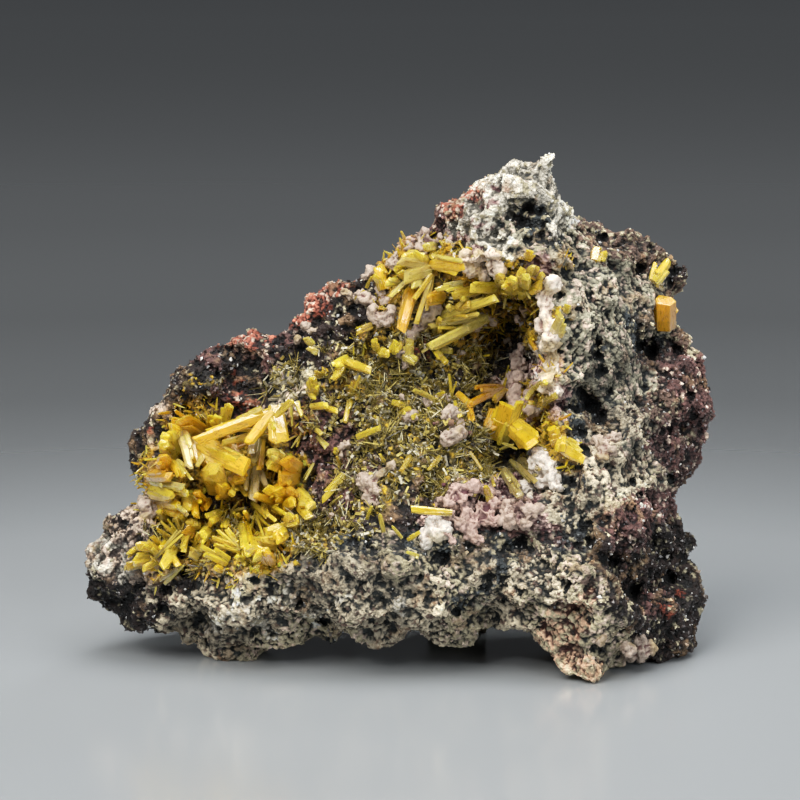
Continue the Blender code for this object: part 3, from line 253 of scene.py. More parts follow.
    "scattered_blades": table("""
    -4.3 24 .6 -2 24.9 2 .7 .4 10 LEMON, -5.5 20.2 .6 -7.8 17.5 2.2 .8 .5 10 LEMON,
    5.2 16.4 .6 1.1 16.8 2.2 .8 .4 10 LEMON, -8.6 21.4 .6 -9.5 19.7 1.8 .3 .2 0 STRAW,
    -2.8 35.1 .4 -4.3 34.4 1.8 .9 .6 10 OLIVE, -8.8 27.1 .4 -7.2 27.2 1.8 .8 .6 10 LEMON,
    -7.4 26.9 .4 -6.2 26.5 1.6 .6 .5 10 LEMON, -2.4 32.7 .4 -2.62 33.82 1.8 1.01 .6 10 LEMON,
    -2 32.5 .4 -1.1 32.28 1.9 1.1 .68 10 LEMON, -.8 32.5 .4 -.4 33.6 2 1.1 .7 10 LEMON,
    .4 27.1 .4 -.8 27.5 1.8 .8 .5 10 LEMON, -.2 26.3 .4 1 26.9 1.8 .7 .5 10 LEMON,
    4 27.4 .6 1.4 28.7 2 .5 .3 10 STRAW, 3.6 27.9 .5 4.4 28.5 1.8 .6 .4 10 LEMON,
    5.2 27.9 .5 4.9 30.3 2.2 .4 .3 0 LEMON, 5.5 27.5 .5 6 26 2 .6 .4 10 LEMON,
    2 26.5 .4 1.2 25.9 1.6 .7 .5 10 LEMON, -6 20.9 .4 -6.3 22.1 1.8 .4 .3 0 OLIVE,
    -6.3 22.5 .3 -6.52 22.95 1.4 .64 .51 0 LEMON, -1.6 21.5 .4 -2 22.3 1.6 .5 .4 0 LEMON,
    -5 27.7 .5 -5.5 25.5 2 .6 .4 10 OLIVE, -4.8 28.2 .5 -4 30.1 2 .5 .4 10 OLIVE,
    -9 25.3 .4 -7.8 24.3 1.6 .6 .5 10 STRAW, -8.2 24.1 .4 -7.4 22.9 1.6 .5 .4 10 STRAW,
    .3 33.5 .3 -.4 32.5 2 .8 .6 10 LEMON, -8.2 32.5 .3 -9.2 32.9 1.4 .9 .7 10 STRAW,
    -8.8 33.1 .3 -9.4 33.9 1.2 .8 .6 10 STRAW, -4.4 37.7 .3 -3.6 38.7 1.2 .4 .3 0 OLIVE,
    -3.4 38.9 .3 -2.8 40.1 1.2 .4 .3 0 OLIVE, 4 22.1 .4 2.8 20.7 1.6 .5 .3 0 OLIVE,
    1 22.1 .4 .2 20.7 1.6 .6 .4 0 OLIVE, 7 22.5 .4 8.2 20.7 1.6 .4 .3 0 OLIVE,
    8.8 20.9 .4 9.4 19.1 1.6 .4 .3 0 OLIVE, -3.4 15.7 .4 -2.8 17.1 1.6 .4 .3 0 LEMON,
    -1.6 14.5 .4 -2 16.3 1.6 .5 .3 0 STRAW, .2 13.9 .3 -.8 15.1 1.6 .4 .3 0 STRAW,
    .8 13.7 .3 2 14.5 1.6 .6 .4 0 LEMON, -7 17.2 .4 -5.8 18.1 1.6 .4 .3 0 STRAW,
    1.8 12.1 .2 .6 12.5 1.4 .5 .4 0 STRAW"""),
}

KNOB_LUMPS: dict[str, list[Spot]] = {
    "knob_high_ridge": table("""
    1.4 43.6 1.2, 2.4 43.9 1.1, 3.3 43.4 .9, 2.2 42.9 .9, .8 43 .7, 4 43.9 .6"""),
    "knob_below_peak": table("""
    7.2 41.1 1.2, 8.6 41.5 1.3, 9.6 40.9 1, 8 42.1 .9, 6.6 41.9 .8, 9.2 42.3 .8, 10 40.1 .8,
    8.4 40.1 .8"""),
    "knob_wall_column": table("""
    14.9 39.1 .7, 14.3 38.4 .8, 15.5 30.5 .8, 15.6 33.2 .8, 14.7 37.3 1, 14.3 35.9 1, 15 34.7 1.1,
    14.9 33.2 1.1, 15.2 31.7 1.1, 14.9 30.3 1, 14.6 28.9 .9, 15.2 39.1 .9, 14.6 38.1 .8, 15.6 28.5 .8,
    14 34.7 .6, 14.6 36.7 .8, 14.8 35.3 .9, 15 33.9 .9, 15.1 32.5 .9, 15 31 .9, 14.8 29.6 .9,
    14.9 27.7 .7"""),
    "knob_hollow_right": table("""
    9.8 30.3 1.2, 11.4 29.7 1.3, 11.9 31.3 1.1, 11.6 28.1 1.2, 10.6 29.1 .9, 9.4 29.3 .8, 12.2 30.1 .9,
    12.4 27.3 1, 11.2 26.7 .9, 13 28.1 .8, 12.2 32.7 .8, 11.4 32.1 .7, 13.2 26.5 .8, 11.8 35.7 .6,
    12.4 36.5 .6"""),
    "knob_under_group": table("""
    2.8 36.1 .9, 3.4 36.7 .8, 2.4 35.3 .7, 1.6 34.7 .7, .8 34.1 .6, .4 33.3 .6, 2 35.7 .6, 0 32.5 .8,
    .4 31.3 .7"""),
    "knob_bowl_top": table("""
    -1.6 35.7 1, -2.6 36.3 .8, -1 36.5 .8, -3.8 38.1 .9, -3.2 37.7 .7, -.8 41.3 .7, -.4 41.9 .7,
    -2.2 35.3 .7, -1.6 37.7 .6, -1.8 38.7 .6"""),
    "knob_mound": table("""
    4.4 25.2 1.1, 5.4 24.3 1.1, 6.6 24 .8, 4.6 23.9 .8, 5 26.3 .8, 5.8 25.3 .8, 1.2 25.9 .8, .6 26.1 .6,
    3.6 27.5 .8, 4.6 27.7 .7, 2.8 27.3 .6"""),
    "knob_low_left": table("""
    -3.4 19.3 .9, -2.4 18.7 .8, -3 17.9 .8, -3.8 19.7 .6, -2.6 19.7 .6, -2 20.1 .6, -1.4 20.7 .5,
    -.8 21.1 .5, -2.4 17.5 .5"""),
    "knob_crust_low": table("""
    4 18.5 1.2, 5.6 18.7 1, 7.2 18.9 .9, 8.6 18.5 .8, 4.8 17.5 .9, 3.8 17.5 .8, 6.2 17.7 .7, 9.2 17.1 .8,
    8 16.9 .8, 6.6 16.5 .8, 8.8 15.9 .8, 7.4 15.5 .8, 9.6 15.5 .7, 6 15.3 .8, 5.2 16.1 .6, 4.6 16.1 .7,
    7 14.3 .7, 7.8 13.7 .6, 4.8 14.3 .6, 5.4 13.7 .5"""),
    "white_wedge": table("""
    3.2 15.5 1, 4 14.5 1.1, 3 14.3 1, 3.8 15.7 .9, 2.6 13.5 .7, 4.4 15.1 .7"""),
    "knob_low_right": table("""
    10.8 16.5 1.1, 12 16.1 1.1, 11.2 15.5 .9, 13 16.5 .9, 10.2 15.7 .8, 13.8 16.9 .7, 12.6 15.3 .8,
    11.6 17.3 .7"""),
    "knob_white": table("""
    14 21.5 1.3, 14.8 20.9 1.1, 13.6 20.5 1, 15.2 19.9 1, 14.5 22.2 .9, 13.4 19.1 1.2, 12.6 18.7 1,
    14.2 19.5 .9, 13 19.7 .8, 15.6 18.9 .7, 13 18.1 .7"""),
    "scattered_knobs": table("""
    -8.6 16 .4, -25.2 17.1 .9, -25.8 17.5 .7, -24.6 16.5 .8, -25.2 16.1 .7, -6 22.9 .5, -5.4 23.3 .5,
    -5.8 22.1 .4, -6.8 16.1 .4, -7.4 16.5 .4, .2 27.9 .4, 5.6 31.5 .5, 6 32.3 .4, 8.4 35.9 .6,
    7.8 35.1 .6, 9.2 35.5 .5, -8.8 34.5 .5, -10.2 33.7 .6, -9.4 35.1 .5, -5.6 38.5 .6, -5 38.1 .5,
    -2.8 40.7 .6, -3.4 40.1 .5, -1.4 39.1 .5, 10.6 33.7 .4, 11.2 33.1 .4, 24 2.7 1.1, 23.2 2.3 .9,
    24.8 2.9 .9, 24 3.7 .8, 22.6 2.9 .8, 20 3.7 .6, 20.4 23.1 .9, 19.8 23.7 .8, 21 22.7 .8, 21.4 23.9 .7,
    20.4 22.1 .7"""),
}

FACE_PATCHES: dict[Tint, list[Spot]] = {
    Tint.CREAM: table("""
    10 48.7 1, 11.6 49.1 .9, -28.8 13.2 1.4, -27.2 10.7 1.4, -29.2 10.5 1, -15.5 7.2 1.8, -11.5 7.7 1.6,
    -18.5 5.5 1.3, -9 6.2 1, -13.8 4.9 1.2, 14 32.7 .9, 14.5 29.7 .9, 15.2 28.3 .8, 10.5 49.7 1.4,
    12 50.7 1.2, 14 50.9 1.2, 14.8 51.7 .8, 13 49.2 1.2, 11.2 47.7 1.4, 9 46.2 1.6, 8 44.2 1.4, 14 48.7 1,
    10 43.7 1.2, 15.8 46.2 .9, 7 42.7 1, 15.6 45.2 .7, -6 7.7 .8, 0 6.7 .8, 14.5 37.7 .8"""),
    Tint.PALE: table("""
    -17.5 7.2 1.6, -15 5.7 1.5, -12 7.2 1.3, -10 7.7 1.2, -13.5 9.2 1, -25 7.7 1, -22.8 5.5 1.2,
    -20.8 3.7 1.2, -22 7.7 1.2, -23.5 6.2 1, -18.5 8.7 1.2, -14 7.2 1.4, -20 6.7 2, -17 7.7 1.8,
    -7 8.7 2.2, -5 6.7 1.8, -3 7.7 2, -1 5.7 1.8, 2 7.7 1.8, 3 9.7 1.4, -5.5 10.7 1.4, -7 11.7 1,
    -16 5.2 1.4, -18 3.7 1.4, -13 5.7 1.2, -10 10.7 1.2, 8 10.7 1.6, 10 7.7 1.4, 13 9.7 1.8,
    14.5 11.7 1.4, 12 5.7 1.4, 16 8.7 1.4, 20 22.7 2.2, 22 20.7 2.2, 19 20.7 1.6, 24 20.7 1.4, 26 19.7 1,
    19 17.7 1.6, 20 16.7 1, 22 25.7 1.6, 24 24.7 1, 20 24.2 1.4, 16 15.7 1.2, 18.5 37.7 .8, 16 41.7 .8,
    20 37.7 .8"""),
    Tint.TEAL: table("""
    17.5 41.7 1.4, 18.5 38.7 1.6, 20 36.7 1.8, 17 37.7 1, 16 34.7 1.2, 19 33.7 1.4, 17.5 31.7 1.6,
    21.5 34.7 1.4, 20 30.7 1.4, 19 27.7 1.6, 24 38.7 1.4, 22.5 40.7 1, 21 28.7 1.4, 24 29.7 1.6,
    22 32.7 1, 25 33.7 1.2, 10 45.2 1, 12 43.2 .8, 11.5 44.2 .8, 21 24.7 .8, 8 7.7 1, 23 22.7 .8"""),
    Tint.UMBER: table("""
    20 43.7 1.2, 22.5 42.7 1.4, 25 43.2 1, 24 41.2 1, 29 33.7 1.4, 25 31.7 1.2, 26 27.7 1.6, 19 9.7 1,
    -24 8.7 .8, 28 38.7 .8, 28.5 24.7 1, 16 7.7 .8, -13 31.7 .8"""),
    Tint.PLUM: table("""
    -18.5 31.7 1.2, -14.5 32.2 1.2, -17.5 28.2 1, 10 14.9 .9, 7 15.7 .8, 8.6 17.7 .7, 5.2 16.1 .6,
    12 14.5 .8, 14.5 14.1 .9, 28 30.7 2, 30 28.7 1.6, 29 25.7 1.6, 27 23.7 1.4, 28 21.7 1.4, 26 17.7 1.4,
    25 15.7 1.4, 24 16.7 1.2, 21 14.7 1.4, 24 13.7 1.4, 22.5 16.2 1, 25 6.7 .8, 16 13.7 1, -16 32.7 1,
    -19 32.7 1.2, -13.5 31.2 1.2, -11 33.7 1, -17 29.2 .8, -6 25.7 1.6, -8 24.7 1.4, -7 22.7 1.4,
    -9 26.7 1, -5.5 19.7 1.2, -7 18.2 1.2, -5.5 16.5 1, -2.5 20.7 .8, -10 23.7 .8, 4 45.7 .8, 22 12.7 1.2,
    26 8.7 1, -20 32.7 1"""),
    Tint.BLACK: table("""
    -17.5 32.7 .8, -19.5 29.2 .9, -16 31.2 .7, -21 32.7 .7, 30.5 11.7 1.6, 29 9.2 1.4, 12 45.9 .9,
    13.2 46.9 .6, 14 43.9 .6, 19.8 31.9 .8, 18.8 27.5 1.2, 20 25.9 1, 25.1 32.9 1.3, 20.3 43.9 .7,
    27.7 40.5 .9, 25 11.7 2.4, 27 9.7 2.4, 29 6.7 2, 28 11.7 1.6, 26 13.7 1.6, 23 8.7 1.6, 24 5.7 1.8,
    28 3.7 2, 21 11.7 1.4, 20 13.7 1.2, 30 7.7 1, 22 7.7 1.4, -20 30.7 1.8, -21 28.7 1.6, -22.5 27.7 1.4,
    -17 31.7 1.6, -15 30.7 1.6, -13 33.2 1.4, -10 32.7 1.6, -8 34.7 1.4, -6 36.7 1.4, -4 39.2 1.2,
    -25 24.7 1.2, -25.5 22.2 1, -24 25.7 1, -15 28.7 1.4, -29 8.7 1.6, -30 7.7 1.2, -26 7.7 1.4,
    -27.5 14.7 1.2, -25 6.7 1.4, -22 9.7 1.4, -27 9.2 1.4, -6 32.7 1.2, -7 33.7 1, 11 37.7 1.4,
    10.5 34.7 1.6, 11 33.2 1.4, 8 32.7 1.6, 7 30.7 1.4, 10 31.7 1, 9 24.7 1.2, -18.8 16.9 .8,
    -16.2 17.4 .7, -3 15.7 1, 0 16.2 1, 2 18.7 1, -4 26.7 .8, -1.5 27.7 .8, 7 23.7 .9, 4 20.7 .9,
    1 18.2 .8, -1.5 22.2 .7, -4 23.7 .7, 2.5 27.7 .6, -5 30.5 .7, 5.5 28.2 .7"""),
    Tint.PINK: table("""
    9.8 48.7 .8, 9.1 46.9 .8, 8.5 45.1 .8, 7.8 43.1 .7, 14.3 40.9 .7, 10 17.7 1, 12 16.2 1, 6 17.7 1.3,
    8 16.7 1.1, 4 14.7 1.2, 15 15.2 1, 24 16.2 .8, 14.5 30.7 1.4, 15.5 27.7 1.4, 7 43.7 .8,
    1.5 43.7 .8"""),
    Tint.BRICK: table("""
    -18.2 33.9 1, -16.6 33.9 .9, -15 33.5 .9, -13.2 33.9 .8, -10 35.9 .9, -8.4 37.3 .8, -7 38.1 .7,
    -5.5 38.7 .7, -16 28.2 .8, -15 27.3 .6, 5.5 46.7 .7, 7.8 47.9 .6"""),
    Tint.SALMON: table("""
    16 5.7 1.4, 17 4.2 1.2, 15 3.7 1, 17.5 2.7 1, 17.5 1.2 1, 19 7.7 .8, 18.5 5.2 .8, 5.2 46.3 .5"""),
    Tint.OLIVE: table("""
    -2 29.7 2, 0 27.7 2, 3 29.7 1.6, -2 25.7 2, 2 23.7 2.2, 5 21.7 2, 0 20.7 2, -2 17.7 1.6, 7 21.7 1.4,
    -5 28.7 1.4, -3 31.7 1.2, 4 31.7 1.2, -10 13.7 1.4, -8 14.7 1.2, -11 15.7 .8, -17 12.7 1, -10 11.7 .6,
    5 33.7 1, 8 37.7 1.4, 4 37.7 1.4, -5 14.7 1, -21 29.2 .8, -19 29.7 .8, -21 11.7 1"""),
    Tint.STONE: table("""
    12.1 49.1 .8, 11.4 47.5 .8, 12.8 50.5 .6, 13.5 48.1 .6, -15 8.7 1.4, -12 8.7 1.4, -10 5.7 1.4,
    -14 3.7 1.4, -8 3.7 1.2, -5 4.2 1, 0 11.7 1.4, 3 11.7 1.4, 6 11.7 1.4, 5 8.7 1.4, 7 5.7 1.4,
    8 7.7 1.2, -2 13.2 1.4, 14 13.7 1, 16 11.7 1.2, 19 10.7 1.2, 20 8.7 1, 17 8.7 1, 13 7.7 1, 20 5.7 1.2,
    22 3.7 1.2, 19 3.7 .8, 25 20.7 1, 21 17.7 .8, 14 5.7 .8, -24 11.7 1, -10 29.2 1.4, -12 29.7 1.2,
    14 43.7 .8"""),
    Tint.SLATE: table("""
    -13 8.7 1, -10 7.7 1, 4 12.7 1.6, 6 13.7 1.4, 10 13.2 1.4, 1 12.7 1, -5 13.7 1.2, -3 13.7 1,
    17 14.7 1.2, 19 14.7 1.2, 16 13.2 1, 9 8.7 1.2, 10 10.7 1, 6 7.7 1, -7 3.7 .8, 12 12.7 1, 18 26.7 1.4,
    19 25.7 1.2, 17.5 24.7 1, 24 34.7 1.4, 25 32.7 1.4, 24 33.2 1.2, 17 21.7 .8, 17.5 19.7 .8,
    14.5 46.2 1, 13 45.2 1, 12 46.2 .8, 26 40.7 .8, 20 32.7 .8, 16 42.7 .5"""),
    Tint.FLESH: table("""
    -28.5 13.2 1.6, -27 14.7 1.2, -28 11.7 1.2, -26 10.2 1.2, -29 10.2 1, -25 17.2 1, -26.5 17.7 .8,
    -25 27.7 1, -23.5 26.7 1, -25 20.7 .8, -25.5 18.7 .8, -25 23.7 .6"""),
    Tint.OCHRE: table("""
    11 37.5 .9, 12.6 34.2 .8, 10.6 34.7 .8, 11.5 35.9 .7, -17.5 19.2 1.2, -18.5 13.2 1.4, -14.5 12.2 1.2,
    -10.8 16.7 1.2, -22 20.2 1.4, -15 23.7 1.4, -25 11.7 .8, -21 14.7 1.4, -16 14.7 1.4, -23 17.7 1.2,
    -20 21.7 2, -13 19.7 2, -12 13.7 1.2, 3 41.7 1.4, 1 39.7 1, 5 35.7 1, 10 39.2 1.2, 14 27.7 1,
    16 23.7 1.2, -21 25.2 1.2, -20 29.7 .6, 15 24.7 .8, 16 35.7 .6"""),
    Tint.RUST: table("""
    -14.5 33.2 .8, -13 33.9 .8, -16 30.2 .9, -16.8 28.5 .9, -15 27.2 .7, -6.5 38.7 .7, -8 36.5 .7,
    -5 39.2 .5, -11 34.7 .7, 26.8 6.7 .8, 28 8.2 .7, 16 7.7 .6, 2.5 32.7 .6, 3 33.2 .6, -15.5 28.2 .6,
    -16.5 27.7 .5, -20.5 13.7 .6, 17.5 4.7 .5, 2.5 31.7 .5, -24 13.2 .5, -25 24.7 .5"""),
}

# Dark cavities of the display face: across, up, radius, depth.
CAVITIES: list[Spot] = table("""
    11 46.2 .7 1.3, 12 45.5 .8 1.7, 12.8 46.9 .8 1.8, 13.7 46.5 .6 1.3, 14 43.9 .7 1.3, 13 43.7 .6 1.1,
    9.6 44.3 .4 .9, 10.4 43.4 .4 1, 11.1 42.7 .4 .9, 6.2 42.9 .9 1.3, 5.5 43.9 .7 .8, 10.5 40.9 .3 .5,
    15.6 39.7 .4 1, 16 38.2 .4 1, 17.2 39 .4 .7, 18.1 36.7 .5 .9, 18.6 37.5 .4 .7, 19.8 33.2 .6 1.3,
    19.8 31.9 .7 1.7, 19.8 30.5 .7 1.5, 16.8 33.2 .5 .8, 16.5 30.7 .4 .7, 18.5 28.2 .8 1.7, 19 27.2 1 2,
    20 25.9 .8 1.6, 17.6 26.7 .6 1, 20.8 28.7 .4 .8, 24 33.2 .7 1.6, 25.2 32.5 .9 2, 25 34.2 .6 1.2,
    27.6 32.7 .6 1.4, 28 32 .5 1.2, 29.2 33.2 .5 1, 24.5 28.7 .5 .8, 23 26.5 .4 .7, 26.5 24.7 .6 1.2,
    29 28.2 .6 1.5, 29.3 26.5 .7 1.5, 20.3 44 .6 1.4, 22.8 43.1 .6 .8, 22 42.7 .5 .8, 23.8 40.7 .7 1.3,
    25 42.7 .5 1, 27.6 40.5 .8 1.6, 27.2 39.2 .6 1.2, 21.2 38.4 .4 .7, 18.3 22.7 .5 1.2, 17.2 19.5 .5 1,
    20.5 20.9 .4 .7, 23.3 19.5 .5 1.4, 22.5 19.2 .4 .9, 24 18.2 .5 .8, 27.2 19.9 .6 1.6, 18.5 15.2 .9 1.4,
    19 13.7 .8 1.4, 17.5 13.2 .5 .9, 20.5 11.9 .8 1.4, 21.5 11.5 .6 1, 12 13.2 1 1.4, 10.5 12.5 .9 1.3,
    13 12.7 .6 .8, 7 13.2 .8 .9, 4 11.7 .9 1.3, 3.5 10.5 .6 .8, 2 9.9 .6 .9, 9 10 .7 1.2, 9.7 8.7 .4 .8,
    10.5 7.7 .5 1.2, 5.5 6.7 .8 .8, 14 5.2 .5 .7, 17.5 6.9 .5 .7, 19 5.7 .4 .6, 23.5 8.7 .9 1.6,
    25 10.2 .8 1.3, 26.8 9.9 1 2.1, 26.5 12.2 .8 1.4, 24 6.7 .7 1, 26.5 7.7 .6 .8, 18.5 3.7 .4 .6,
    10.5 19.2 .5 1.2, 7 18 .4 .8, -21.7 10.5 .7 1.7, -23.5 8.7 .6 1.2, -27.5 15.2 .6 1, -29.2 14.2 .5 .8,
    -29.5 7.9 .8 .8, -27 7.7 .7 1.2, -26 6.5 .5 .8, -30 9.7 .6 .7, -14.5 9.9 .6 1, -13 9.7 .5 .8,
    -15.5 7.7 .6 1.1, -16.8 7.4 .4 .7, -10 7.2 .6 1.2, -8.5 6.7 .8 1.3, -7.5 5.7 .7 1.3, -11.5 7.7 .5 .8,
    -13 4.5 .6 .9, -7.5 4.2 .7 1, -2.8 5.7 .5 .8, -9.5 3.7 .8 .8, -4.5 13.2 .7 1, -2.8 12.9 .6 1,
    -1.5 7.7 .5 .6, -5 9.7 .4 .6, -18.5 6.2 .4 .5, -20 5.7 .4 .5, -5 16.2 .7 1.3, -7 17.2 .5 .8,
    -17.5 17.2 .7 1.2, -19.5 16.7 .5 1, -16 32.2 .9 1, -13.5 29.7 .8 1, -10 33.2 .6 .8, -7 34.2 .6 .8,
    -19.5 28.2 .6 .8, -21.5 26.7 .6 .7, -5 36.7 .6 .7, -12 34.2 .6 .8, -18.5 30.7 .7 .8""")

# How readily each mineral takes the sides, the back and the underside.
BACK_SHARES: dict[Tint, float] = {
    Tint.UMBER: 0.3, Tint.STONE: 0.3, Tint.PLUM: 0.14, Tint.BLACK: 0.1, Tint.TEAL: 0.22,
    Tint.SLATE: 0.0, Tint.PALE: 0.16, Tint.FLESH: 0.0, Tint.SALMON: -0.2, Tint.RUST: -0.25,
}
# A second mineral strewn in a first: which, and in what share of its grains.
FLECKS: dict[Tint, tuple[Tint, float]] = {
    Tint.CREAM: (Tint.STONE, 0.2), Tint.PALE: (Tint.UMBER, 0.22), Tint.STONE: (Tint.FLESH, 0.25),
    Tint.TEAL: (Tint.FLESH, 0.2), Tint.SLATE: (Tint.STONE, 0.2), Tint.PINK: (Tint.PLUM, 0.2),
    Tint.SALMON: (Tint.STONE, 0.4), Tint.FLESH: (Tint.UMBER, 0.15), Tint.PLUM: (Tint.FLESH, 0.08),
    Tint.UMBER: (Tint.STONE, 0.2), Tint.BLACK: (Tint.STONE, 0.09), Tint.OLIVE: (Tint.OCHRE, 0.25),
    Tint.OCHRE: (Tint.OLIVE, 0.2), Tint.RUST: (Tint.BLACK, 0.3), Tint.BRICK: (Tint.FLESH, 0.3),
}
# Stains a few millimetres across over all minerals: colour, and the noise at which each starts and
# at which it is full.
STAINS = [("#262423", 0.16, 0.5), ("#8a6f52", -0.12, -0.4)]
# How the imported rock's peak is drawn out: across, up, radius, move.
PEAK_TIPS = [
    (14.4, 50.4, 1.7, np.array([0.2, 0.0, 0.6])), (15.5, 52.2, 0.8, np.array([0.3, 0.0, 0.45])),
    (16.8, 49.2, 1.5, np.array([-0.9, 0.0, 0.0])), (11.2, 52.4, 1.4, np.array([0.0, 0.0, -0.25])),
    (17.2, 45.6, 1.6, np.array([-0.4, 0.0, 0.0])),
]
# Each knob's clean colour, the darker, purplish colour of its hollows, partly painted shade, and its stain;
# knobs without a row of their own look like the scattered ones.
KNOB_COLOURS: dict[str, tuple[str, str, str]] = {
    "scattered_knobs": ("#b3a090", "#6d4744", "#a28a55"),
    "white_wedge": ("#e6ddd2", "#b09887", "#cdbb93"),
    "knob_white": ("#e2d8cc", "#a58d7b", "#cdbb93"),
    "knob_wall_column": ("#f0decd", "#875c50", "#b0984f"),
    "knob_high_ridge": ("#ab988b", "#65403e", "#96814f"),
    "knob_below_peak": ("#dcc8b4", "#775646", "#b3994f"),
    "knob_crust_low": ("#b89a8e", "#582f35", "#97806f"),
    "knob_low_right": ("#b49d8f", "#63413d", "#988570"),
    "knob_hollow_right": ("#bda79a", "#6f4644", "#a58d55"),
}
# The peak's outline: its height and how far right it reaches there, then its place across and how
# high it stands there.
PEAK_RIGHT = table("""
    46 17.4, 47.2 16.6, 48.4 15.7, 50 15, 51.4 15.1, 53 15.3""")
PEAK_TOP = table("""
    10 50.8, 11.6 51.7, 12.6 51.3, 13.4 51.4, 14.4 51.8, 15.2 52.1, 17 52""")
# Where needles line the bowl: across, up, radius, how densely.
NEEDLE_SPOTS: list[Spot] = table("""
    -1 28 5.5 1, 2.5 23 6.5 1, 6.5 21.5 4 1, -4 29.5 4.5 .9, -2.5 20.5 4.5 .8, 5.5 29.5 3.5 .7,
    -8.5 14.5 3.4 .8, -16 13.5 3.5 .5, -7.5 26.5 3 .5, 3.5 35.5 3 .4, 8.5 24.5 3 .6, -5 32 3 .5,
    8 31.5 3 .5, -11.5 29.5 2.4 .4, 0 32.5 3 .6, -4 16 2.6 .5, -20 11.8 2.5 .3, -23 14.5 2.5 .3""")
# Where small yellow crystals fill the gaps of the groups: across, up, radius, how densely.
YELLOW_SPOTS: list[Spot] = table("""
    -20.5 25 3.6 1, -23.5 21 3.4 1, -18 21.5 3.4 .9, -14 21 3 .9, -12.5 17.5 3.4 1, -16.5 15 3.2 .9,
    -20.5 13.5 3.6 .9, -23.5 17 3 .8, -13 13 3.2 .9, -17.5 11.5 3 .7, -24 11.5 2.6 .5, -10.5 25.5 2.2 .5,
    .5 41 4 .9, 5.5 40.5 3.2 .9, 9 38.5 2.6 .8, -.5 37 2.6 .6, 4.5 36.5 2.6 .5, 12.5 38 2.6 .8,
    7 33 2.2 .7, 9.5 34.5 2.2 .7, 11 36 2 .6, -3 33.5 2.2 .5, 10.8 25.5 3 .8, 14.5 24.5 2.6 .8,
    11.5 29 2 .9, 15.2 31 1.6 .6, 17 22 1.8 .5, 1 43.8 2.4 .5, 28 43.5 1.6 .7, -5.5 29.5 1.8 .5,
    16.5 41.5 1.2 .5""")
# Colours of the needles and of the stubby crystals among them, with their shares; the palest needle tone is
# a painted highlight on the needles.
NEEDLE_TONES_AND_HIGHLIGHT = [("#6f6126", 0.28), ("#9c8a3c", 0.27), ("#cbb968", 0.22), ("#3a3218", 0.12),
                ("#e8dfb8", 0.11)]
STUB_TONES = [("#7d6c34", 0.16), ("#b09c50", 0.24), ("#d3c068", 0.2), ("#4a3f24", 0.1),
              ("#e2dac0", 0.18), ("#8d8468", 0.12)]
# The whitest grains: partly white crystals of the crust, partly painted glints.
WHITE_GRAIN_AND_GLINT = "#e6e4de"
YELLOW_DUST = "#a97f1c"  # powdery mimetite on the rock about the small yellow crystals
# The colour of each mineral's hollows: partly the darker mineral that lies under it, partly painted shade
# where the surface sinks in.
HOLLOW_MINERALS_AND_SHADE: dict[Tint, str] = {
    Tint.CREAM: "#8a867a", Tint.PALE: "#3d4241", Tint.STONE: "#2b3032", Tint.TEAL: "#1f292b",
    Tint.SLATE: "#101517", Tint.PINK: "#6e3f46", Tint.SALMON: "#5a3028", Tint.FLESH: "#4c3f3a",
    Tint.PLUM: "#180c10", Tint.UMBER: "#15100f", Tint.BLACK: "#080606", Tint.OLIVE: "#1e1a0d",
    Tint.OCHRE: "#54400f", Tint.RUST: "#25100b", Tint.BRICK: "#3c1c18",
}


# ---- the viewer's lay-out
@dataclass(frozen=True)
class Sight:
    """How a viewer in front of the display face sees the specimen: across from the middle and up
    from the front foot, both in millimetres at the distance of the middle."""

    distance: float = 333.0  # from the eye to the middle
    elevation: float = math.radians(8.0)  # how steeply the viewer looks down
    middle_up: float = 27.7  # how far up the viewer looks
    front_foot: tuple[float, float, float] = (18.6, -0.2, -12.0)  # across, up, depth of a spot on the floor
    shift: tuple[float, float] = (-0.041, -2.476)  # X and Y from the lay-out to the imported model

    def _raw(self, across: np.ndarray, up: np.ndarray, depth: np.ndarray) -> np.ndarray:
        """A line of sight through (across, up) cut at a depth along Y, before any shift."""
        run = self.distance * math.cos(self.elevation)
        fall = self.distance * math.sin(self.elevation)
        above = np.asarray(up, dtype=float) - self.middle_up
        share = (depth + run) / (run + above * math.sin(self.elevation))
        height = fall + share * (above * math.cos(self.elevation) - fall)
        return np.stack(np.broadcast_arrays(share * across, depth, height), axis=-1)

    def offset(self) -> np.ndarray:
        """What moves the lay-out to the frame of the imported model."""
        return np.array([*self.shift, -self._raw(*self.front_foot)[2]])

    def place(self, across: np.ndarray, up: np.ndarray, depth: np.ndarray) -> np.ndarray:
        """The point seen at (across, up) that lies at the given depth along Y."""
        return self._raw(across, up, depth) + self.offset()

    def seen(self, points: np.ndarray) -> tuple[np.ndarray, np.ndarray]:
        """Where points are seen.

        Args:
            points: Rows of X, Y, Z.

        Returns:
            Across and up of each point.
        """
        local = points - self.offset()
        rise, cosine = math.sin(self.elevation), math.cos(self.elevation)
        x, y = local[:, 0], local[:, 1] + self.distance * cosine
        z = local[:, 2] - self.distance * rise
        away = y * cosine - z * rise
        lift = y * rise + z * cosine
        return self.distance * x / away, self.middle_up + self.distance * lift / away

    def forward(self) -> np.ndarray:
        """The direction in which the viewer looks at the middle."""
        return np.array([0.0, math.cos(self.elevation), -math.sin(self.elevation)])

    def eye(self) -> np.ndarray:
        """Where the viewer's eye is."""
        return self.offset() - self.forward() * self.distance


SIGHT = Sight()


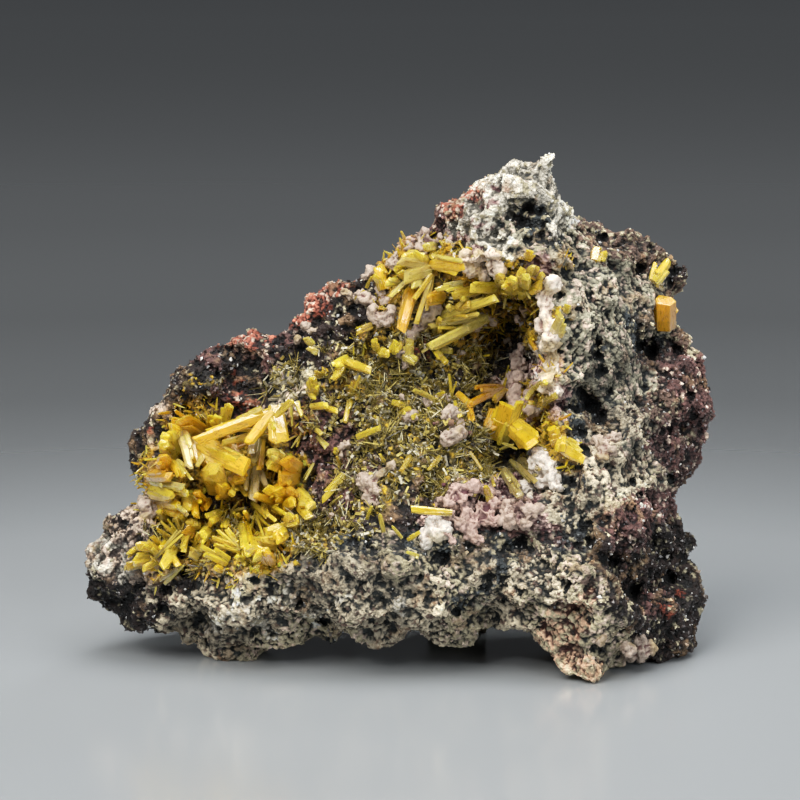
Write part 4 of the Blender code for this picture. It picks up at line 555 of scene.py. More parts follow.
class Probe:
    """Finds where a line of sight meets the bare rock."""

    def __init__(self, rock: bpy.types.Object) -> None:
        """Keep the rock's triangles for ray casts.

        Args:
            rock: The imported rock, in metres.
        """
        rock.data.calc_loop_triangles()
        faces = read(rock.data.loop_triangles, "vertices", 3, int)
        self.tree = BVHTree.FromPolygons(points_of(rock).tolist(), faces.tolist())
        self.eye = SIGHT.eye()

    def spot(self, across: float, up: float, stands_out: float) -> np.ndarray:
        """The point seen at (across, up) that stands out of the rock by the given amount."""
        aim = SIGHT.place(across, up, 0.0)
        hit = self.tree.ray_cast(Vector(self.eye), Vector(aim - self.eye).normalized())[0]
        if hit is None:
            hit = self.tree.find_nearest(Vector(aim))[0]
        return SIGHT.place(across, up, hit.y - SIGHT.shift[1] - stands_out)


# ---- noise and arrays
def read(items: bpy.types.bpy_prop_collection, name: str, width: int, kind: type = float) -> np.ndarray:
    """Read one property of all of a mesh's items as rows.

    Args:
        items: The vertices, edges or triangles.
        name: The property.
        width: Numbers per item.
        kind: float or int.

    Returns:
        An array with one row per item.
    """
    flat = np.empty(len(items) * width, dtype=np.float32 if kind is float else np.int32)
    items.foreach_get(name, flat)
    return flat.reshape(-1, width).astype(kind)


def points_of(piece: bpy.types.Object) -> np.ndarray:
    """A piece's points in millimetres."""
    return read(piece.data.vertices, "co", 3) / MM


def normals_of(piece: bpy.types.Object) -> np.ndarray:
    """The direction in which each of a piece's points faces."""
    return read(piece.data.vertex_normals, "vector", 3)


def edges_of(piece: bpy.types.Object) -> np.ndarray:
    """The two ends of each of a piece's edges, by number."""
    return read(piece.data.edges, "vertices", 2, int)


def move_to(piece: bpy.types.Object, metres: np.ndarray) -> None:
    """Put a piece's points at new places, in metres."""
    piece.data.vertices.foreach_set("co", metres.astype(np.float32).ravel())
    piece.data.update()


def scatter(cells: np.ndarray, seed: int) -> np.ndarray:
    """Repeatable chance: a cell's three numbers are multiplied by large primes, joined by exclusive
    or, and mixed by multiplying and shifting within 32 bits.

    Args:
        cells: Rows of three whole numbers.
        seed: Which pattern.

    Returns:
        A number from 0 to 1 for each row.
    """
    big = cells.astype(np.int64).astype(np.uint64) * np.array(CELL_PRIMES, dtype=np.uint64)
    mask = np.uint64(WORD - 1)
    mixed = (big[..., 0] ^ big[..., 1] ^ big[..., 2] ^ np.uint64(seed * SEED_PRIME % WORD)) & mask
    for shift, factor in MIXES:
        mixed = ((mixed ^ (mixed >> np.uint64(shift))) * np.uint64(factor)) & mask
    return (mixed ^ (mixed >> np.uint64(16))).astype(float) / WORD


def smooth_noise(points: np.ndarray, seed: int) -> np.ndarray:
    """Value noise: a random value at each lattice corner, blended by 3f^2 - 2f^3.

    Args:
        points: Rows of X, Y, Z in steps of the lattice.
        seed: Which pattern.

    Returns:
        A number from -1 to 1 for each point.
    """
    base = np.floor(points)
    part = points - base
    part = part * part * (3.0 - 2.0 * part)
    total = np.zeros(len(points))
    for corner in np.ndindex(2, 2, 2):
        weight = np.prod(np.where(np.array(corner) == 1, part, 1.0 - part), axis=1)
        total += weight * scatter(base + np.array(corner), seed)
    return 2.0 * total - 1.0


def fractal(points: np.ndarray, size: float, octaves: int, seed: int) -> np.ndarray:
    """Value noise summed over octaves, each half the size and 0.55 times the height of the last,
    and each laid a little aside of the last so that their lattices do not line up.

    Args:
        points: Rows of X, Y, Z.
        size: The largest octave's lattice step.
        octaves: How many.
        seed: Which pattern.

    Returns:
        A number from -1 to 1 for each point.
    """
    total, height, whole, aside = np.zeros(len(points)), 1.0, 0.0, 7.3
    for octave in range(octaves):
        total += height * smooth_noise(points / size * 2 ** octave + aside * octave, seed + octave)
        whole += height
        height *= 0.55
    return total / whole


def warped(points: np.ndarray, size: float, amount: float, seed: int) -> np.ndarray:
    """Points moved about by three noises, so that what is laid out on them gets ragged edges."""
    moves = [fractal(points, size, 2, seed + 11 * axis) for axis in range(3)]
    return points + amount * np.stack(moves, axis=1)


def grains(points: np.ndarray, size: float, seed: int) -> tuple[np.ndarray, np.ndarray, np.ndarray]:
    """Cell noise: one random spot in each cube of the given size.

    Args:
        points: Rows of X, Y, Z.
        size: Side of a cube.
        seed: Which pattern.

    Returns:
        Distance to the nearest spot over that to the next one (0 in the middle of a grain and 1 on
        its border), the distance to the nearest spot, and a number of its own for each grain.
    """
    scaled = points / size
    base = np.floor(scaled)
    first, second = np.full(len(points), 9.0), np.full(len(points), 9.0)
    own = np.zeros(len(points))
    for step in np.ndindex(3, 3, 3):
        cell = base + np.array(step) - 1.0
        spot = cell + np.stack([scatter(cell, seed + axis) for axis in range(3)], axis=1)
        away = np.linalg.norm(spot - scaled, axis=1)
        nearer = away < first
        second = np.where(nearer, first, np.minimum(second, away))
        own = np.where(nearer, scatter(cell, seed + 3), own)
        first = np.minimum(first, away)
    return first / second, first * size, own


def neighbour_mean(values: np.ndarray, edges: np.ndarray, rounds: int) -> np.ndarray:
    """Replace each vertex's values by the mean of it and its neighbours.

    Args:
        values: One row for each vertex.
        edges: The two ends of each edge.
        rounds: How many times over.

    Returns:
        The evened-out rows.
    """
    count = len(values)
    ends = np.concatenate([edges[:, 0], edges[:, 1]])
    others = np.concatenate([edges[:, 1], edges[:, 0]])
    share = 1.0 / (1.0 + np.bincount(ends, minlength=count))
    for _ in range(rounds):
        columns = [np.bincount(ends, weights=column[others], minlength=count) for column in values.T]
        values = (values + np.stack(columns, axis=1)) * share[:, None]
    return values


def unit(vectors: np.ndarray) -> np.ndarray:
    """Vectors brought to length 1."""
    return vectors / np.maximum(np.linalg.norm(vectors, axis=-1, keepdims=True), 1e-9)


def ramp(values: np.ndarray, start: float, full: float) -> np.ndarray:
    """A smooth step from 0 at start to 1 at full, which may be the lower of the two."""
    part = np.clip((values - start) / (full - start), 0.0, 1.0)
    return part * part * (3.0 - 2.0 * part)


def blend(under: np.ndarray, over: np.ndarray, share: np.ndarray) -> np.ndarray:
    """Colours mixed row by row: all of the second where its share is 1."""
    share = share[:, None]
    return under * (1.0 - share) + over * share


def facing(normals: np.ndarray, start: float, full: float) -> np.ndarray:
    """How far unit normals face the viewer: 0 up to one cosine, 1 from another on."""
    return ramp(normals @ -SIGHT.forward(), start, full)


def beyond(spot: Spot, across: np.ndarray, up: np.ndarray, scale: float = 1.0) -> np.ndarray:
    """Distances on the display face from a spot's middle, over its radius times the scale."""
    return np.hypot(across - spot[0], up - spot[1]) / (scale * spot[2])


def reach_of(spots: list[Spot], across: np.ndarray, up: np.ndarray) -> np.ndarray:
    """How much each place on the display face belongs to a set of round spots.

    Args:
        spots: The spots, each with its density.
        across: The places across.
        up: The places up.

    Returns:
        A number from 0 to 1 for each place.
    """
    best = np.zeros(len(across))
    for spot in spots:
        best = np.maximum(best, spot[3] * (1.0 - ramp(beyond(spot, across, up), 0.65, 1.0)))
    return best


def keep_better(score: np.ndarray, number: int, best: np.ndarray, chosen: np.ndarray) -> None:
    """Where a score beats the best so far, write it and its number into the two arrays."""
    better = score > best
    best[better], chosen[better] = score[better], number


def ring_grid(rings: int, turns: int) -> tuple[np.ndarray, np.ndarray, np.ndarray]:
    """Number the points of closed rings, one ring after the other.

    Args:
        rings: How many rings.
        turns: Points in each ring.

    Returns:
        The numbers, those of each point's neighbour in its ring, and the faces between the rings.
    """
    number = np.arange(rings * turns).reshape(rings, turns)
    right = np.roll(number, -1, axis=1)
    return number, right, np.stack([number[:-1], number[1:], right[1:], right[:-1]], axis=-1).reshape(-1, 4)


# ---- meshes and nodes
def make_mesh(name: str, points: np.ndarray, faces: list[np.ndarray], smooth: bool = False,
              marks: dict[str, np.ndarray] | None = None) -> bpy.types.Object:
    """A new object from arrays.

    Args:
        name: The object's name.
        points: Rows of X, Y, Z in millimetres.
        faces: Arrays of corner numbers, each with faces of one number of corners.
        smooth: Whether the faces are shaded as one rounded surface.
        marks: Rows of three numbers for each point, kept on the mesh under these names.

    Returns:
        The object, in metres.
    """
    mesh = bpy.data.meshes.new(name)
    corners = np.concatenate([part.ravel() for part in faces]).astype(np.int32)
    sizes = np.concatenate([np.full(len(part), part.shape[1]) for part in faces]).astype(np.int32)
    mesh.vertices.add(len(points))
    mesh.vertices.foreach_set("co", (points * MM).astype(np.float32).ravel())
    mesh.loops.add(len(corners))
    mesh.loops.foreach_set("vertex_index", corners)
    mesh.polygons.add(len(sizes))
    mesh.polygons.foreach_set("loop_start", (np.cumsum(sizes) - sizes).astype(np.int32))
    mesh.polygons.foreach_set("use_smooth", np.full(len(sizes), smooth))
    mesh.update(calc_edges=True)
    mesh.validate()
    made = bpy.data.objects.new(name, mesh)
    bpy.context.scene.collection.objects.link(made)
    for label, rows in (marks or {}).items():
        mark(made, label, rows)
    return made


def mark(piece: bpy.types.Object, label: str, rows: np.ndarray) -> None:
    """Keep three numbers for each point of a piece, as a colour that its material reads.

    Args:
        piece: The object.
        label: The name under which they are kept.
        rows: Three numbers for each point.
    """
    layer = piece.data.attributes.new(label, "FLOAT_COLOR", "POINT")
    full = np.concatenate([rows, np.ones((len(rows), 1))], axis=1)
    layer.data.foreach_set("color", full.astype(np.float32).ravel())


def apply_modifiers(piece: bpy.types.Object) -> None:
    """Put the result of a piece's modifiers into its mesh."""
    graph = bpy.context.evaluated_depsgraph_get()
    graph.update()
    baked = bpy.data.meshes.new_from_object(piece.evaluated_get(graph), depsgraph=graph)
    old = piece.data
    piece.modifiers.clear()
    piece.data = baked
    bpy.data.meshes.remove(old)


def remesh(piece: bpy.types.Object, voxel: float) -> None:
    """Rebuild a piece's surface at an even fineness, which joins what overlaps in it.

    Args:
        piece: The object, in metres.
        voxel: The fineness in millimetres.
    """
    even = piece.modifiers.new("even", "REMESH")
    even.mode = "VOXEL"
    even.voxel_size = voxel * MM
    even.use_smooth_shade = True
    apply_modifiers(piece)


def push(piece: bpy.types.Object, moves: np.ndarray) -> None:
    """Move a piece's points out along their normals, and keep them above the floor.

    Args:
        piece: The object, in metres.
        moves: How far each point goes, in millimetres.
    """
    points = read(piece.data.vertices, "co", 3) + normals_of(piece) * moves[:, None] * MM
    points[:, 2] = np.maximum(points[:, 2], 0.0)
    move_to(piece, points)


def empty_material(name: str) -> tuple[bpy.types.Material, bpy.types.NodeTree]:
    """A new material and its empty node tree."""
    made = bpy.data.materials.new(name)
    made.use_nodes = True
    made.node_tree.nodes.clear()
    return made, made.node_tree


def add_node(tree: bpy.types.NodeTree, kind: str, feeds: dict | None = None, **settings) -> bpy.types.Node:
    """Add a shader node.

    Args:
        tree: The material's nodes.
        kind: The node's type without "ShaderNode".
        feeds: What goes into its sockets, by name or number: another node's socket or a value.
        settings: Its properties.

    Returns:
        The node.
    """
    made = tree.nodes.new("ShaderNode" + kind)
    for name, value in settings.items():
        setattr(made, name, value)
    for name, value in (feeds or {}).items():
        if isinstance(value, bpy.types.NodeSocket):
            tree.links.new(value, made.inputs[name])
        else:
            made.inputs[name].default_value = value
    return made


def dress(piece: bpy.types.Object, finish: bpy.types.Material, slot: str, *nodes: str) -> None:
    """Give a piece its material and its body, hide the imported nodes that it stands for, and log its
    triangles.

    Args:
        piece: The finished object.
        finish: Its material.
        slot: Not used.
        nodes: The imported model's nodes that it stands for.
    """
    piece.data.materials.clear()
    piece.data.materials.append(finish)
    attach(piece, "root")
    if nodes:
        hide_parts(*nodes)
    faces = sum(len(face.vertices) - 2 for face in piece.data.polygons)
    LOG.info("%s: %d triangles", piece.name, faces)


# ---- finishes
@dataclass(frozen=True)
class MineralFinish:
    """A natural mineral surface. Its colour comes from the piece's "tint", uneven at about the size
    of its grains, and its relief from two bumps: cells of one grain size and a finer noise."""

    name: str
    roughness: float = 0.6
    roughness_spread: float = 0.15
    grain: float = 0.4  # millimetres across a grain
    grain_height: float = 0.08
    fine: float = 0.12
    fine_height: float = 0.03
    uneven: float = 0.25  # how far the colour strays from the tint
    ior: float = 1.5
    transmission: float = 0.0
    subsurface: float = 0.0
    subsurface_reach: tuple[float, float, float] = (1.0, 0.6, 0.3)  # millimetres for each colour
    striped: bool = False  # ridges along the length of a crystal instead of grains

    STRETCH = (1.0, 1.0, 0.36)  # draws the grains of a striped finish out along the crystal
    BLOTCH = 2.2  # how many grains wide a blotch of uneven colour is

    def material(self) -> bpy.types.Material:
        """Build the node material."""
        made, tree = empty_material(self.name)
        if self.striped:
            along = add_node(tree, "Attribute", attribute_name="growth").outputs["Color"]
            place = add_node(tree, "VectorMath", {0: along, 1: self.STRETCH},
                             operation="MULTIPLY").outputs[0]
            per_unit = 1.0  # "growth" is in millimetres
        else:
            place = add_node(tree, "TexCoord").outputs["Object"]
            per_unit = 1000.0  # places on the piece are in metres
        tint = add_node(tree, "Attribute", attribute_name="tint").outputs["Color"]
        blotch = add_node(tree, "TexNoise", {
            "Vector": place, "Scale": per_unit / (self.BLOTCH * self.grain), "Detail": 4.0,
            "Roughness": 0.65}).outputs["Fac"]
        factor, rough = (
            add_node(tree, "MapRange", {"Value": blotch, "From Min": 0.3, "From Max": 0.7,
                                        "To Min": least, "To Max": most}).outputs["Result"]
            for least, most in ((1.0 - self.uneven, 1.0 + self.uneven),
                                (max(self.roughness - self.roughness_spread, 0.03),
                                 self.roughness + self.roughness_spread)))
        colour = add_node(tree, "VectorMath", {0: tint, "Scale": factor}, operation="SCALE").outputs[0]
        cells = add_node(tree, "TexVoronoi", {"Vector": place, "Scale": per_unit / self.grain},
                         distance="EUCLIDEAN").outputs["Distance"]
        grit = add_node(tree, "TexNoise", {"Vector": place, "Scale": per_unit / self.fine,
                                           "Detail": 2.0}).outputs["Fac"]
        low = add_node(tree, "Bump", {"Height": cells, "Distance": abs(self.grain_height) * MM,
                                      "Strength": 1.0}, invert=self.grain_height > 0.0).outputs["Normal"]
        high = add_node(tree, "Bump", {"Height": grit, "Distance": self.fine_height * MM,
                                       "Strength": 1.0, "Normal": low}).outputs["Normal"]
        shader = add_node(tree, "BsdfPrincipled", {
            "Base Color": colour, "Roughness": rough, "Normal": high, "IOR": self.ior,
            "Transmission Weight": self.transmission, "Subsurface Weight": self.subsurface,
            "Subsurface Radius": self.subsurface_reach, "Subsurface Scale": MM,
        })
        add_node(tree, "OutputMaterial", {"Surface": shader.outputs[0]})
        return made


# Iron-stained weathered rock: leached to a sponge of thin walls, so it is dull and pitted.
GOSSAN = MineralFinish("gossan_leached", roughness=0.75, grain=0.3, grain_height=-0.18, ior=1.4,
                       fine=0.12, fine_height=0.05, uneven=0.4)
# Fine-grained dolomite crust: tiny crystals grown side by side, sugary with a few bright faces.
SUGARY_DOLOMITE = MineralFinish("dolomite_sugary", roughness=0.5, roughness_spread=0.2, grain=0.3,
                                grain_height=0.03, fine=0.1, uneven=0.25, ior=1.55, subsurface=0.1,
                                subsurface_reach=(0.3, 0.3, 0.25))
# Goethite druse: grown as minute dark crystals, which flash where a face meets the light.
DRUSY_GOETHITE = MineralFinish("goethite_drusy", roughness=0.32, roughness_spread=0.15, grain=0.5,
                               grain_height=0.02, fine=0.2, fine_height=0.01, uneven=0.3, ior=1.7)
# Calcite knobs: grown as rounded crusts, chalky with a trace of wax at their edges.
WAXY_CALCITE = MineralFinish("calcite_botryoidal", roughness=0.6, roughness_spread=0.2, grain=0.3,
                             grain_height=0.06, fine=0.14, fine_height=0.05, uneven=0.2, ior=1.45,
                             subsurface=0.1, subsurface_reach=(0.6, 0.5, 0.4))
# Mimetite prisms: grown with ridged sides, resinous, glowing where light passes through.
MIMETITE = MineralFinish("mimetite_resinous", roughness=0.33, roughness_spread=0.14, grain=0.18,
                         grain_height=0.03, fine=0.1, fine_height=0.025, uneven=0.25, ior=1.48,
                         transmission=0.35, subsurface=0.45, subsurface_reach=(0.9, 0.74, 0.12),
                         striped=True)
# Small mimetite grains: the same, with no ridges to be seen.
MIMETITE_GRAIN = replace(MIMETITE, name="mimetite_granular", striped=False)
# Thin mimetite needles: too fine to show their sides, so they read as glassy threads.
MIMETITE_NEEDLE = MineralFinish("mimetite_acicular", roughness=0.28, roughness_spread=0.1, grain=0.5,
                                grain_height=0.01, fine=0.2, fine_height=0.005, uneven=0.2, ior=1.55,
                                transmission=0.3)



# ---- the rock
@dataclass
class MatrixRock:
    """The gossan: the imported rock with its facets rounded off, then roughened with grains, pits and
    ridges, and tinted mineral by mineral."""

    coarse_voxel: float = 0.36
    fine_voxel: float = 0.22
    ridge_size: float = 4.2
    ridge_depth: float = 1.0
    lump_size: float = 2.6
    lump_height: float = 0.5
    pit_size: float = 1.5
    pit_depth: float = 0.85
    crease_depth: float = 0.55
    small_pit_size: float = 0.72
    small_pit_depth: float = 0.31
    mineral_grain: float = 0.55  # one mineral to a grain of this size
    mineral_patch: float = 6.0  # patches of one mineral where no viewer stands
    fleck_grain: float = 0.42
    shade_grain: float = 0.45  # grains that are paler or darker than their mineral
    shade_patch: float = 4.2
    stain_strength: float = 0.75
    dust_strength: float = 0.85
    front_from: float = 0.02  # the cosine from which the surface counts as the display face
    peak_depth: float = 12.0  # how far from its middle the peak is drawn out
    outline_pull: float = 0.92  # how much of what stands past the peak's outline is taken back
    front_faces: int = 196000
    back_faces: int = 176000
    piece: bpy.types.Object = field(init=False, default=None)
    tint_index: np.ndarray = field(init=False, default=None)
    proud: np.ndarray = field(init=False, default=None)
    surface: "Surface" = field(init=False, default=None)

    def build(self, source: bpy.types.Object) -> None:
        """Shape and tint the rock.

        Args:
            source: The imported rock.
        """
        mesh = source.data.copy()
        bm = bmesh.new()
        bm.from_mesh(mesh)
        bmesh.ops.remove_doubles(bm, verts=bm.verts, dist=1e-6)
        bm.to_mesh(mesh)
        bm.free()
        mesh.materials.clear()
        self.piece = bpy.data.objects.new("gossan_matrix", mesh)
        bpy.context.scene.collection.objects.link(self.piece)
        remesh(self.piece, self.coarse_voxel)
        self._round_off()
        self._draw_out_peak()
        push(self.piece, self._hollows(points_of(self.piece)))
        self._sink_cavities()
        remesh(self.piece, self.fine_voxel)
        push(self.piece, self._grain(points_of(self.piece)))
        self._thin_out()
        mark(self.piece, "tint", self._tints())
        self.surface = Surface.of(self)
        self._split(source.name)

    def _round_off(self) -> None:
        """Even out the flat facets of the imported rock."""
        metres = read(self.piece.data.vertices, "co", 3)
        move_to(self.piece, neighbour_mean(metres, edges_of(self.piece), 2))

    def _draw_out_peak(self) -> None:
        """Draw out the peak's tips, then press what stands past its outline back to it."""
        points = points_of(self.piece)
        across, up = SIGHT.seen(points)
        for *spot, move in PEAK_TIPS:
            near = np.exp(-2.0 * beyond(spot, across, up) ** 2)
            near = near * (np.abs(points[:, 1] - SIGHT.shift[1]) < self.peak_depth)
            points += near[:, None] * move
        across, up = SIGHT.seen(points)
        for axis, over, along, (starts, limits) in ((0, across, up, np.transpose(PEAK_RIGHT)),
                                                    (2, up, across, np.transpose(PEAK_TOP))):
            past = np.clip(over - np.interp(along, starts, limits), 0.0, None)
            points[:, axis] -= self.outline_pull * past * (along > starts[0])
        move_to(self.piece, points * MM)

    def _broad_normals(self, rounds: int) -> np.ndarray:
        """The rock's normals, evened out over so many rounds of neighbours."""
        return unit(neighbour_mean(normals_of(self.piece), edges_of(self.piece), rounds))

    def _sink_cavities(self) -> None:
        """Sink the cavities of the display face, straight away from the viewer."""
        points = points_of(self.piece)
        depth = self.cavity(points) * facing(self._broad_normals(6), -0.1, 0.35)
        move_to(self.piece, (points + depth[:, None] * SIGHT.forward()) * MM)

    @staticmethod
    def cavity(points: np.ndarray) -> np.ndarray:
        """How deep in a cavity each point lies, in millimetres, with ragged edges."""
        across, up = SIGHT.seen(warped(points, 1.2, 0.4, 35))
        deepest = np.zeros(len(points))
        for spot in CAVITIES:
            deepest = np.maximum(deepest, spot[3] * (1.0 - ramp(beyond(spot, across, up, 1.15), 0.45, 1.0)))
        return deepest

    def _hollows(self, points: np.ndarray) -> np.ndarray:
        """Broad hollows between sharp ridges, where a noise is far from zero, round-backed lumps with
        creases between them, and pits between ragged walls."""
        noise = fractal(warped(points, 3.0, 0.9, 5), self.ridge_size, 2, 21)
        lump = 1.0 - grains(warped(points, 1.8, 0.8, 31), self.lump_size, 41)[0] ** 2
        rough = 0.15 * fractal(points, 1.3, 2, 45)
        return (0.3 - self.ridge_depth * ramp(np.abs(noise), 0.0, 0.6) + self.lump_height * (lump - 0.75)
                - self.pit_depth * self.pits(points) - self.crease_depth * self.creases(points) + rough)

    @staticmethod
    def creases(points: np.ndarray) -> np.ndarray:
        """Where the rock has parted, 0 to 1: lines where a noise crosses zero. They run on twice as
        far along as across, uphill on the left and downhill on the right, and fade out in places."""
        loose = warped(points, 2.0, 0.5, 143)
        slope = np.radians(-3.0 - 1.3 * points[:, 0])
        along = loose[:, 0] * np.cos(slope) + loose[:, 2] * np.sin(slope)
        over = loose[:, 2] * np.cos(slope) - loose[:, 0] * np.sin(slope)
        noise = fractal(np.stack([0.5 * along, loose[:, 1], over], axis=1), 3.4, 2, 141)
        below_peak = 1.0 - 0.8 * ramp(points[:, 2], 41.5, 44.5)
        open_here = ramp(fractal(points, 5.0, 2, 147), -0.25, 0.1) * below_peak
        return (1.0 - ramp(np.abs(noise), 0.0, 0.1)) * open_here

    def pits(self, points: np.ndarray) -> np.ndarray:
        """How deep in a pit each point lies, 0 to 1: pits fill the middles of cells that are longer
        up and down than across, some deep and some hardly sunk, with very ragged edges."""
        slim = warped(points, 0.9, 0.62, 61) * np.array([1.0, 1.0, 0.6])
        border, _, own = grains(slim, self.pit_size, 63)
        return ramp(1.0 - border + 0.3 * fractal(points, 0.7, 2, 65), 0.25, 0.8) * ramp(own, 0.25, 0.9)

    def _grain(self, points: np.ndarray) -> np.ndarray:
        """Small pits in some places and grains with gaps between them in others, both unevenly deep
        and with a rough finer noise."""
        border, _, own = grains(warped(points, 0.5, 0.3, 51), self.small_pit_size, 53)
        sharp = 1.0 - 2.5 * np.abs(fractal(points, 0.7, 2, 59))
        share = ramp(fractal(points, 4.0, 2, 61), -0.25, 0.05)
        pit, gap = ramp(1.0 - border, 0.15, 0.8), ramp(border, 0.6, 0.95) - 0.35 * own
        depth = self.small_pit_depth * (1.0 - 0.6 * ramp(points[:, 2], 42.5, 45.5))
        return (0.02 - depth * (pit * (1.0 - share) + gap * share) * (0.3 + 0.7 * own)
                + 0.11 * fractal(points, 0.5, 2, 57) + 0.07 * sharp)

    def _thin_out(self) -> None:
        """Bring the rock down to its number of triangles, which stay densest on the display face."""
        hidden = 1.0 - facing(self._broad_normals(12), -0.3, 0.35)
        group = self.piece.vertex_groups.new(name="thin")
        weights = np.round(hidden * 5.0).astype(int)  # tenths; what is hidden has half the full weight
        for tenths in range(1, 6):
            group.add(np.flatnonzero(weights == tenths).tolist(), tenths / 10.0, "REPLACE")
        fewer = self.piece.modifiers.new("fewer", "DECIMATE")
        triangles = 2 * len(self.piece.data.polygons)
        fewer.ratio = min(1.0, (self.front_faces + self.back_faces) / triangles)
        fewer.vertex_group = "thin"
        fewer.vertex_group_factor = 1.0
        fewer.use_collapse_triangulate = True
        apply_modifiers(self.piece)
        self.piece.vertex_groups.clear()

    def _split(self, stands_for: str) -> None:
        """Part the rock's triangles into a front and a back piece, each of a size that loads well."""
        points, corners, tint = self.surface.points, self.surface.corners, self.surface.point_colours
        away = self.surface.middles() @ SIGHT.forward()
        border = np.sort(away)[min(self.front_faces, len(away) - 1)]
        for name, chosen in (("gossan_front", away < border), ("gossan_back", away >= border)):
            used, faces = np.unique(corners[chosen], return_inverse=True)
            piece = make_mesh(name, points[used], [faces.reshape(-1, 3)], marks={"tint": tint[used]})
            dress(piece, GOSSAN.material(), "gossan", stands_for)
        bpy.data.objects.remove(self.piece)

    def _tints(self) -> np.ndarray:
        """Colour the rock: each grain of the surface gets one mineral, flecks of a second mineral are
        strewn in, then come stains and unevenness, with painted shade in the hollows and painted light on
        the crests.

        Returns:
            Linear colours, one row for each point.
        """
        points = points_of(self.piece)
        loose = warped(points, 2.4, 0.7, 71)
        own = grains(warped(points, 0.8, 0.2, 73), self.mineral_grain, 75)[2]
        front = self._broad_normals(14) @ -SIGHT.forward() + 0.25 * fractal(points, 2.0, 2, 131)
        on_front = front > self.front_from
        self.tint_index = np.where(on_front, self._front_minerals(loose, own),
                                   self._other_minerals(loose, own))
        colours = np.array([linear(tint.value) for tint in TINTS])
        result = colours[self.tint_index]
        speck = grains(points, self.fleck_grain, 81)[2]
        for tint, (fleck, share) in FLECKS.items():
            hit = (self.tint_index == TINTS.index(tint)) & (speck < share)
            result[hit] = colours[TINTS.index(fleck)]
        stain = fractal(loose, 1.7, 3, 97)
        for shade, start, full in STAINS:
            share = self.stain_strength * ramp(stain, start, full)
            result = blend(result, linear(shade), share * (0.4 + 0.6 * own))
        dust = self.dust_strength * reach_of(YELLOW_SPOTS, *SIGHT.seen(loose))
        result = blend(result, linear(YELLOW_DUST), dust * on_front * ramp(own, 0.1, 0.5))
        bright = grains(points, self.shade_grain, 91)[2]
        result = result * (0.78 + 0.44 * bright)[:, None]
        result = result * (1.0 + 1.1 * fractal(points, self.shade_patch, 3, 95))[:, None]
        # Painted shade and light: what lies low blends to its hollow colour, partly a darker mineral and
        # partly painted shade, and the highest crests are painted paler.
        proud = self._standing(points, front > 0.0)
        hollow_shade = np.array([linear(HOLLOW_MINERALS_AND_SHADE[tint]) for tint in TINTS])[self.tint_index]
        rise = ramp(proud + 0.35 * (own - 0.5), -1.5, 0.4)[:, None]
        self.proud = rise[:, 0]
        crest_light = 0.8 + 0.35 * ramp(proud, 0.2, 1.6)[:, None]
        result = hollow_shade * (0.5 + bright[:, None]) * (0.3 + rise) * (1.0 - rise) + result * rise * crest_light
        return np.clip(result, 0.0, 0.95)

    @staticmethod
    def _front_minerals(loose: np.ndarray, own: np.ndarray) -> np.ndarray:
        """The mineral of each point of the display face: the one whose patch reaches it best,
        1 - d / r for a distance d to a patch of radius r, unsettled by chance grain by grain."""
        across, up = SIGHT.seen(loose)
        best, chosen = np.full(len(loose), -9.0), np.zeros(len(loose), dtype=int)
        for tint, patches in FACE_PATCHES.items():
            number = TINTS.index(tint)
            chance = 0.9 * (np.modf(own * (7.0 + 13.0 * number))[0] - 0.5)
            for patch in patches:
                keep_better(1.0 - beyond(patch, across, up) + chance, number, best, chosen)
        return chosen

    def _other_minerals(self, loose: np.ndarray, own: np.ndarray) -> np.ndarray:
        """The mineral of each point of the sides, the back and the underside, where broad noises
        choose among the duller minerals."""
        best, chosen = np.full(len(loose), -9.0), np.zeros(len(loose), dtype=int)
        for tint, weight in BACK_SHARES.items():
            number = TINTS.index(tint)
            score = weight + 1.2 * fractal(loose, self.mineral_patch, 3, 100 + number)
            score += 0.35 * (np.modf(own * (5.0 + 11.0 * number))[0] - 0.5)
            keep_better(score, number, best, chosen)
        return chosen

    def _standing(self, points: np.ndarray, on_front: np.ndarray) -> np.ndarray:
        """How far each point stands out of what is about it, near, farther and far, less what lies in pits,
        cavities and creases; this sets where shade and light are painted into the tint."""
        edges, normals = edges_of(self.piece), normals_of(self.piece)
        proud = -1.1 * self.pits(points) - 0.9 * self.cavity(points) * on_front - 1.2 * self.creases(points)
        level = points
        for rounds, depth in ((3, 0.035), (9, 0.13), (36, 0.45)):
            level = neighbour_mean(level, edges, rounds)
            proud += np.clip(np.einsum("ij,ij->i", points - level, normals) / depth, -1.5, 1.0)
        return proud


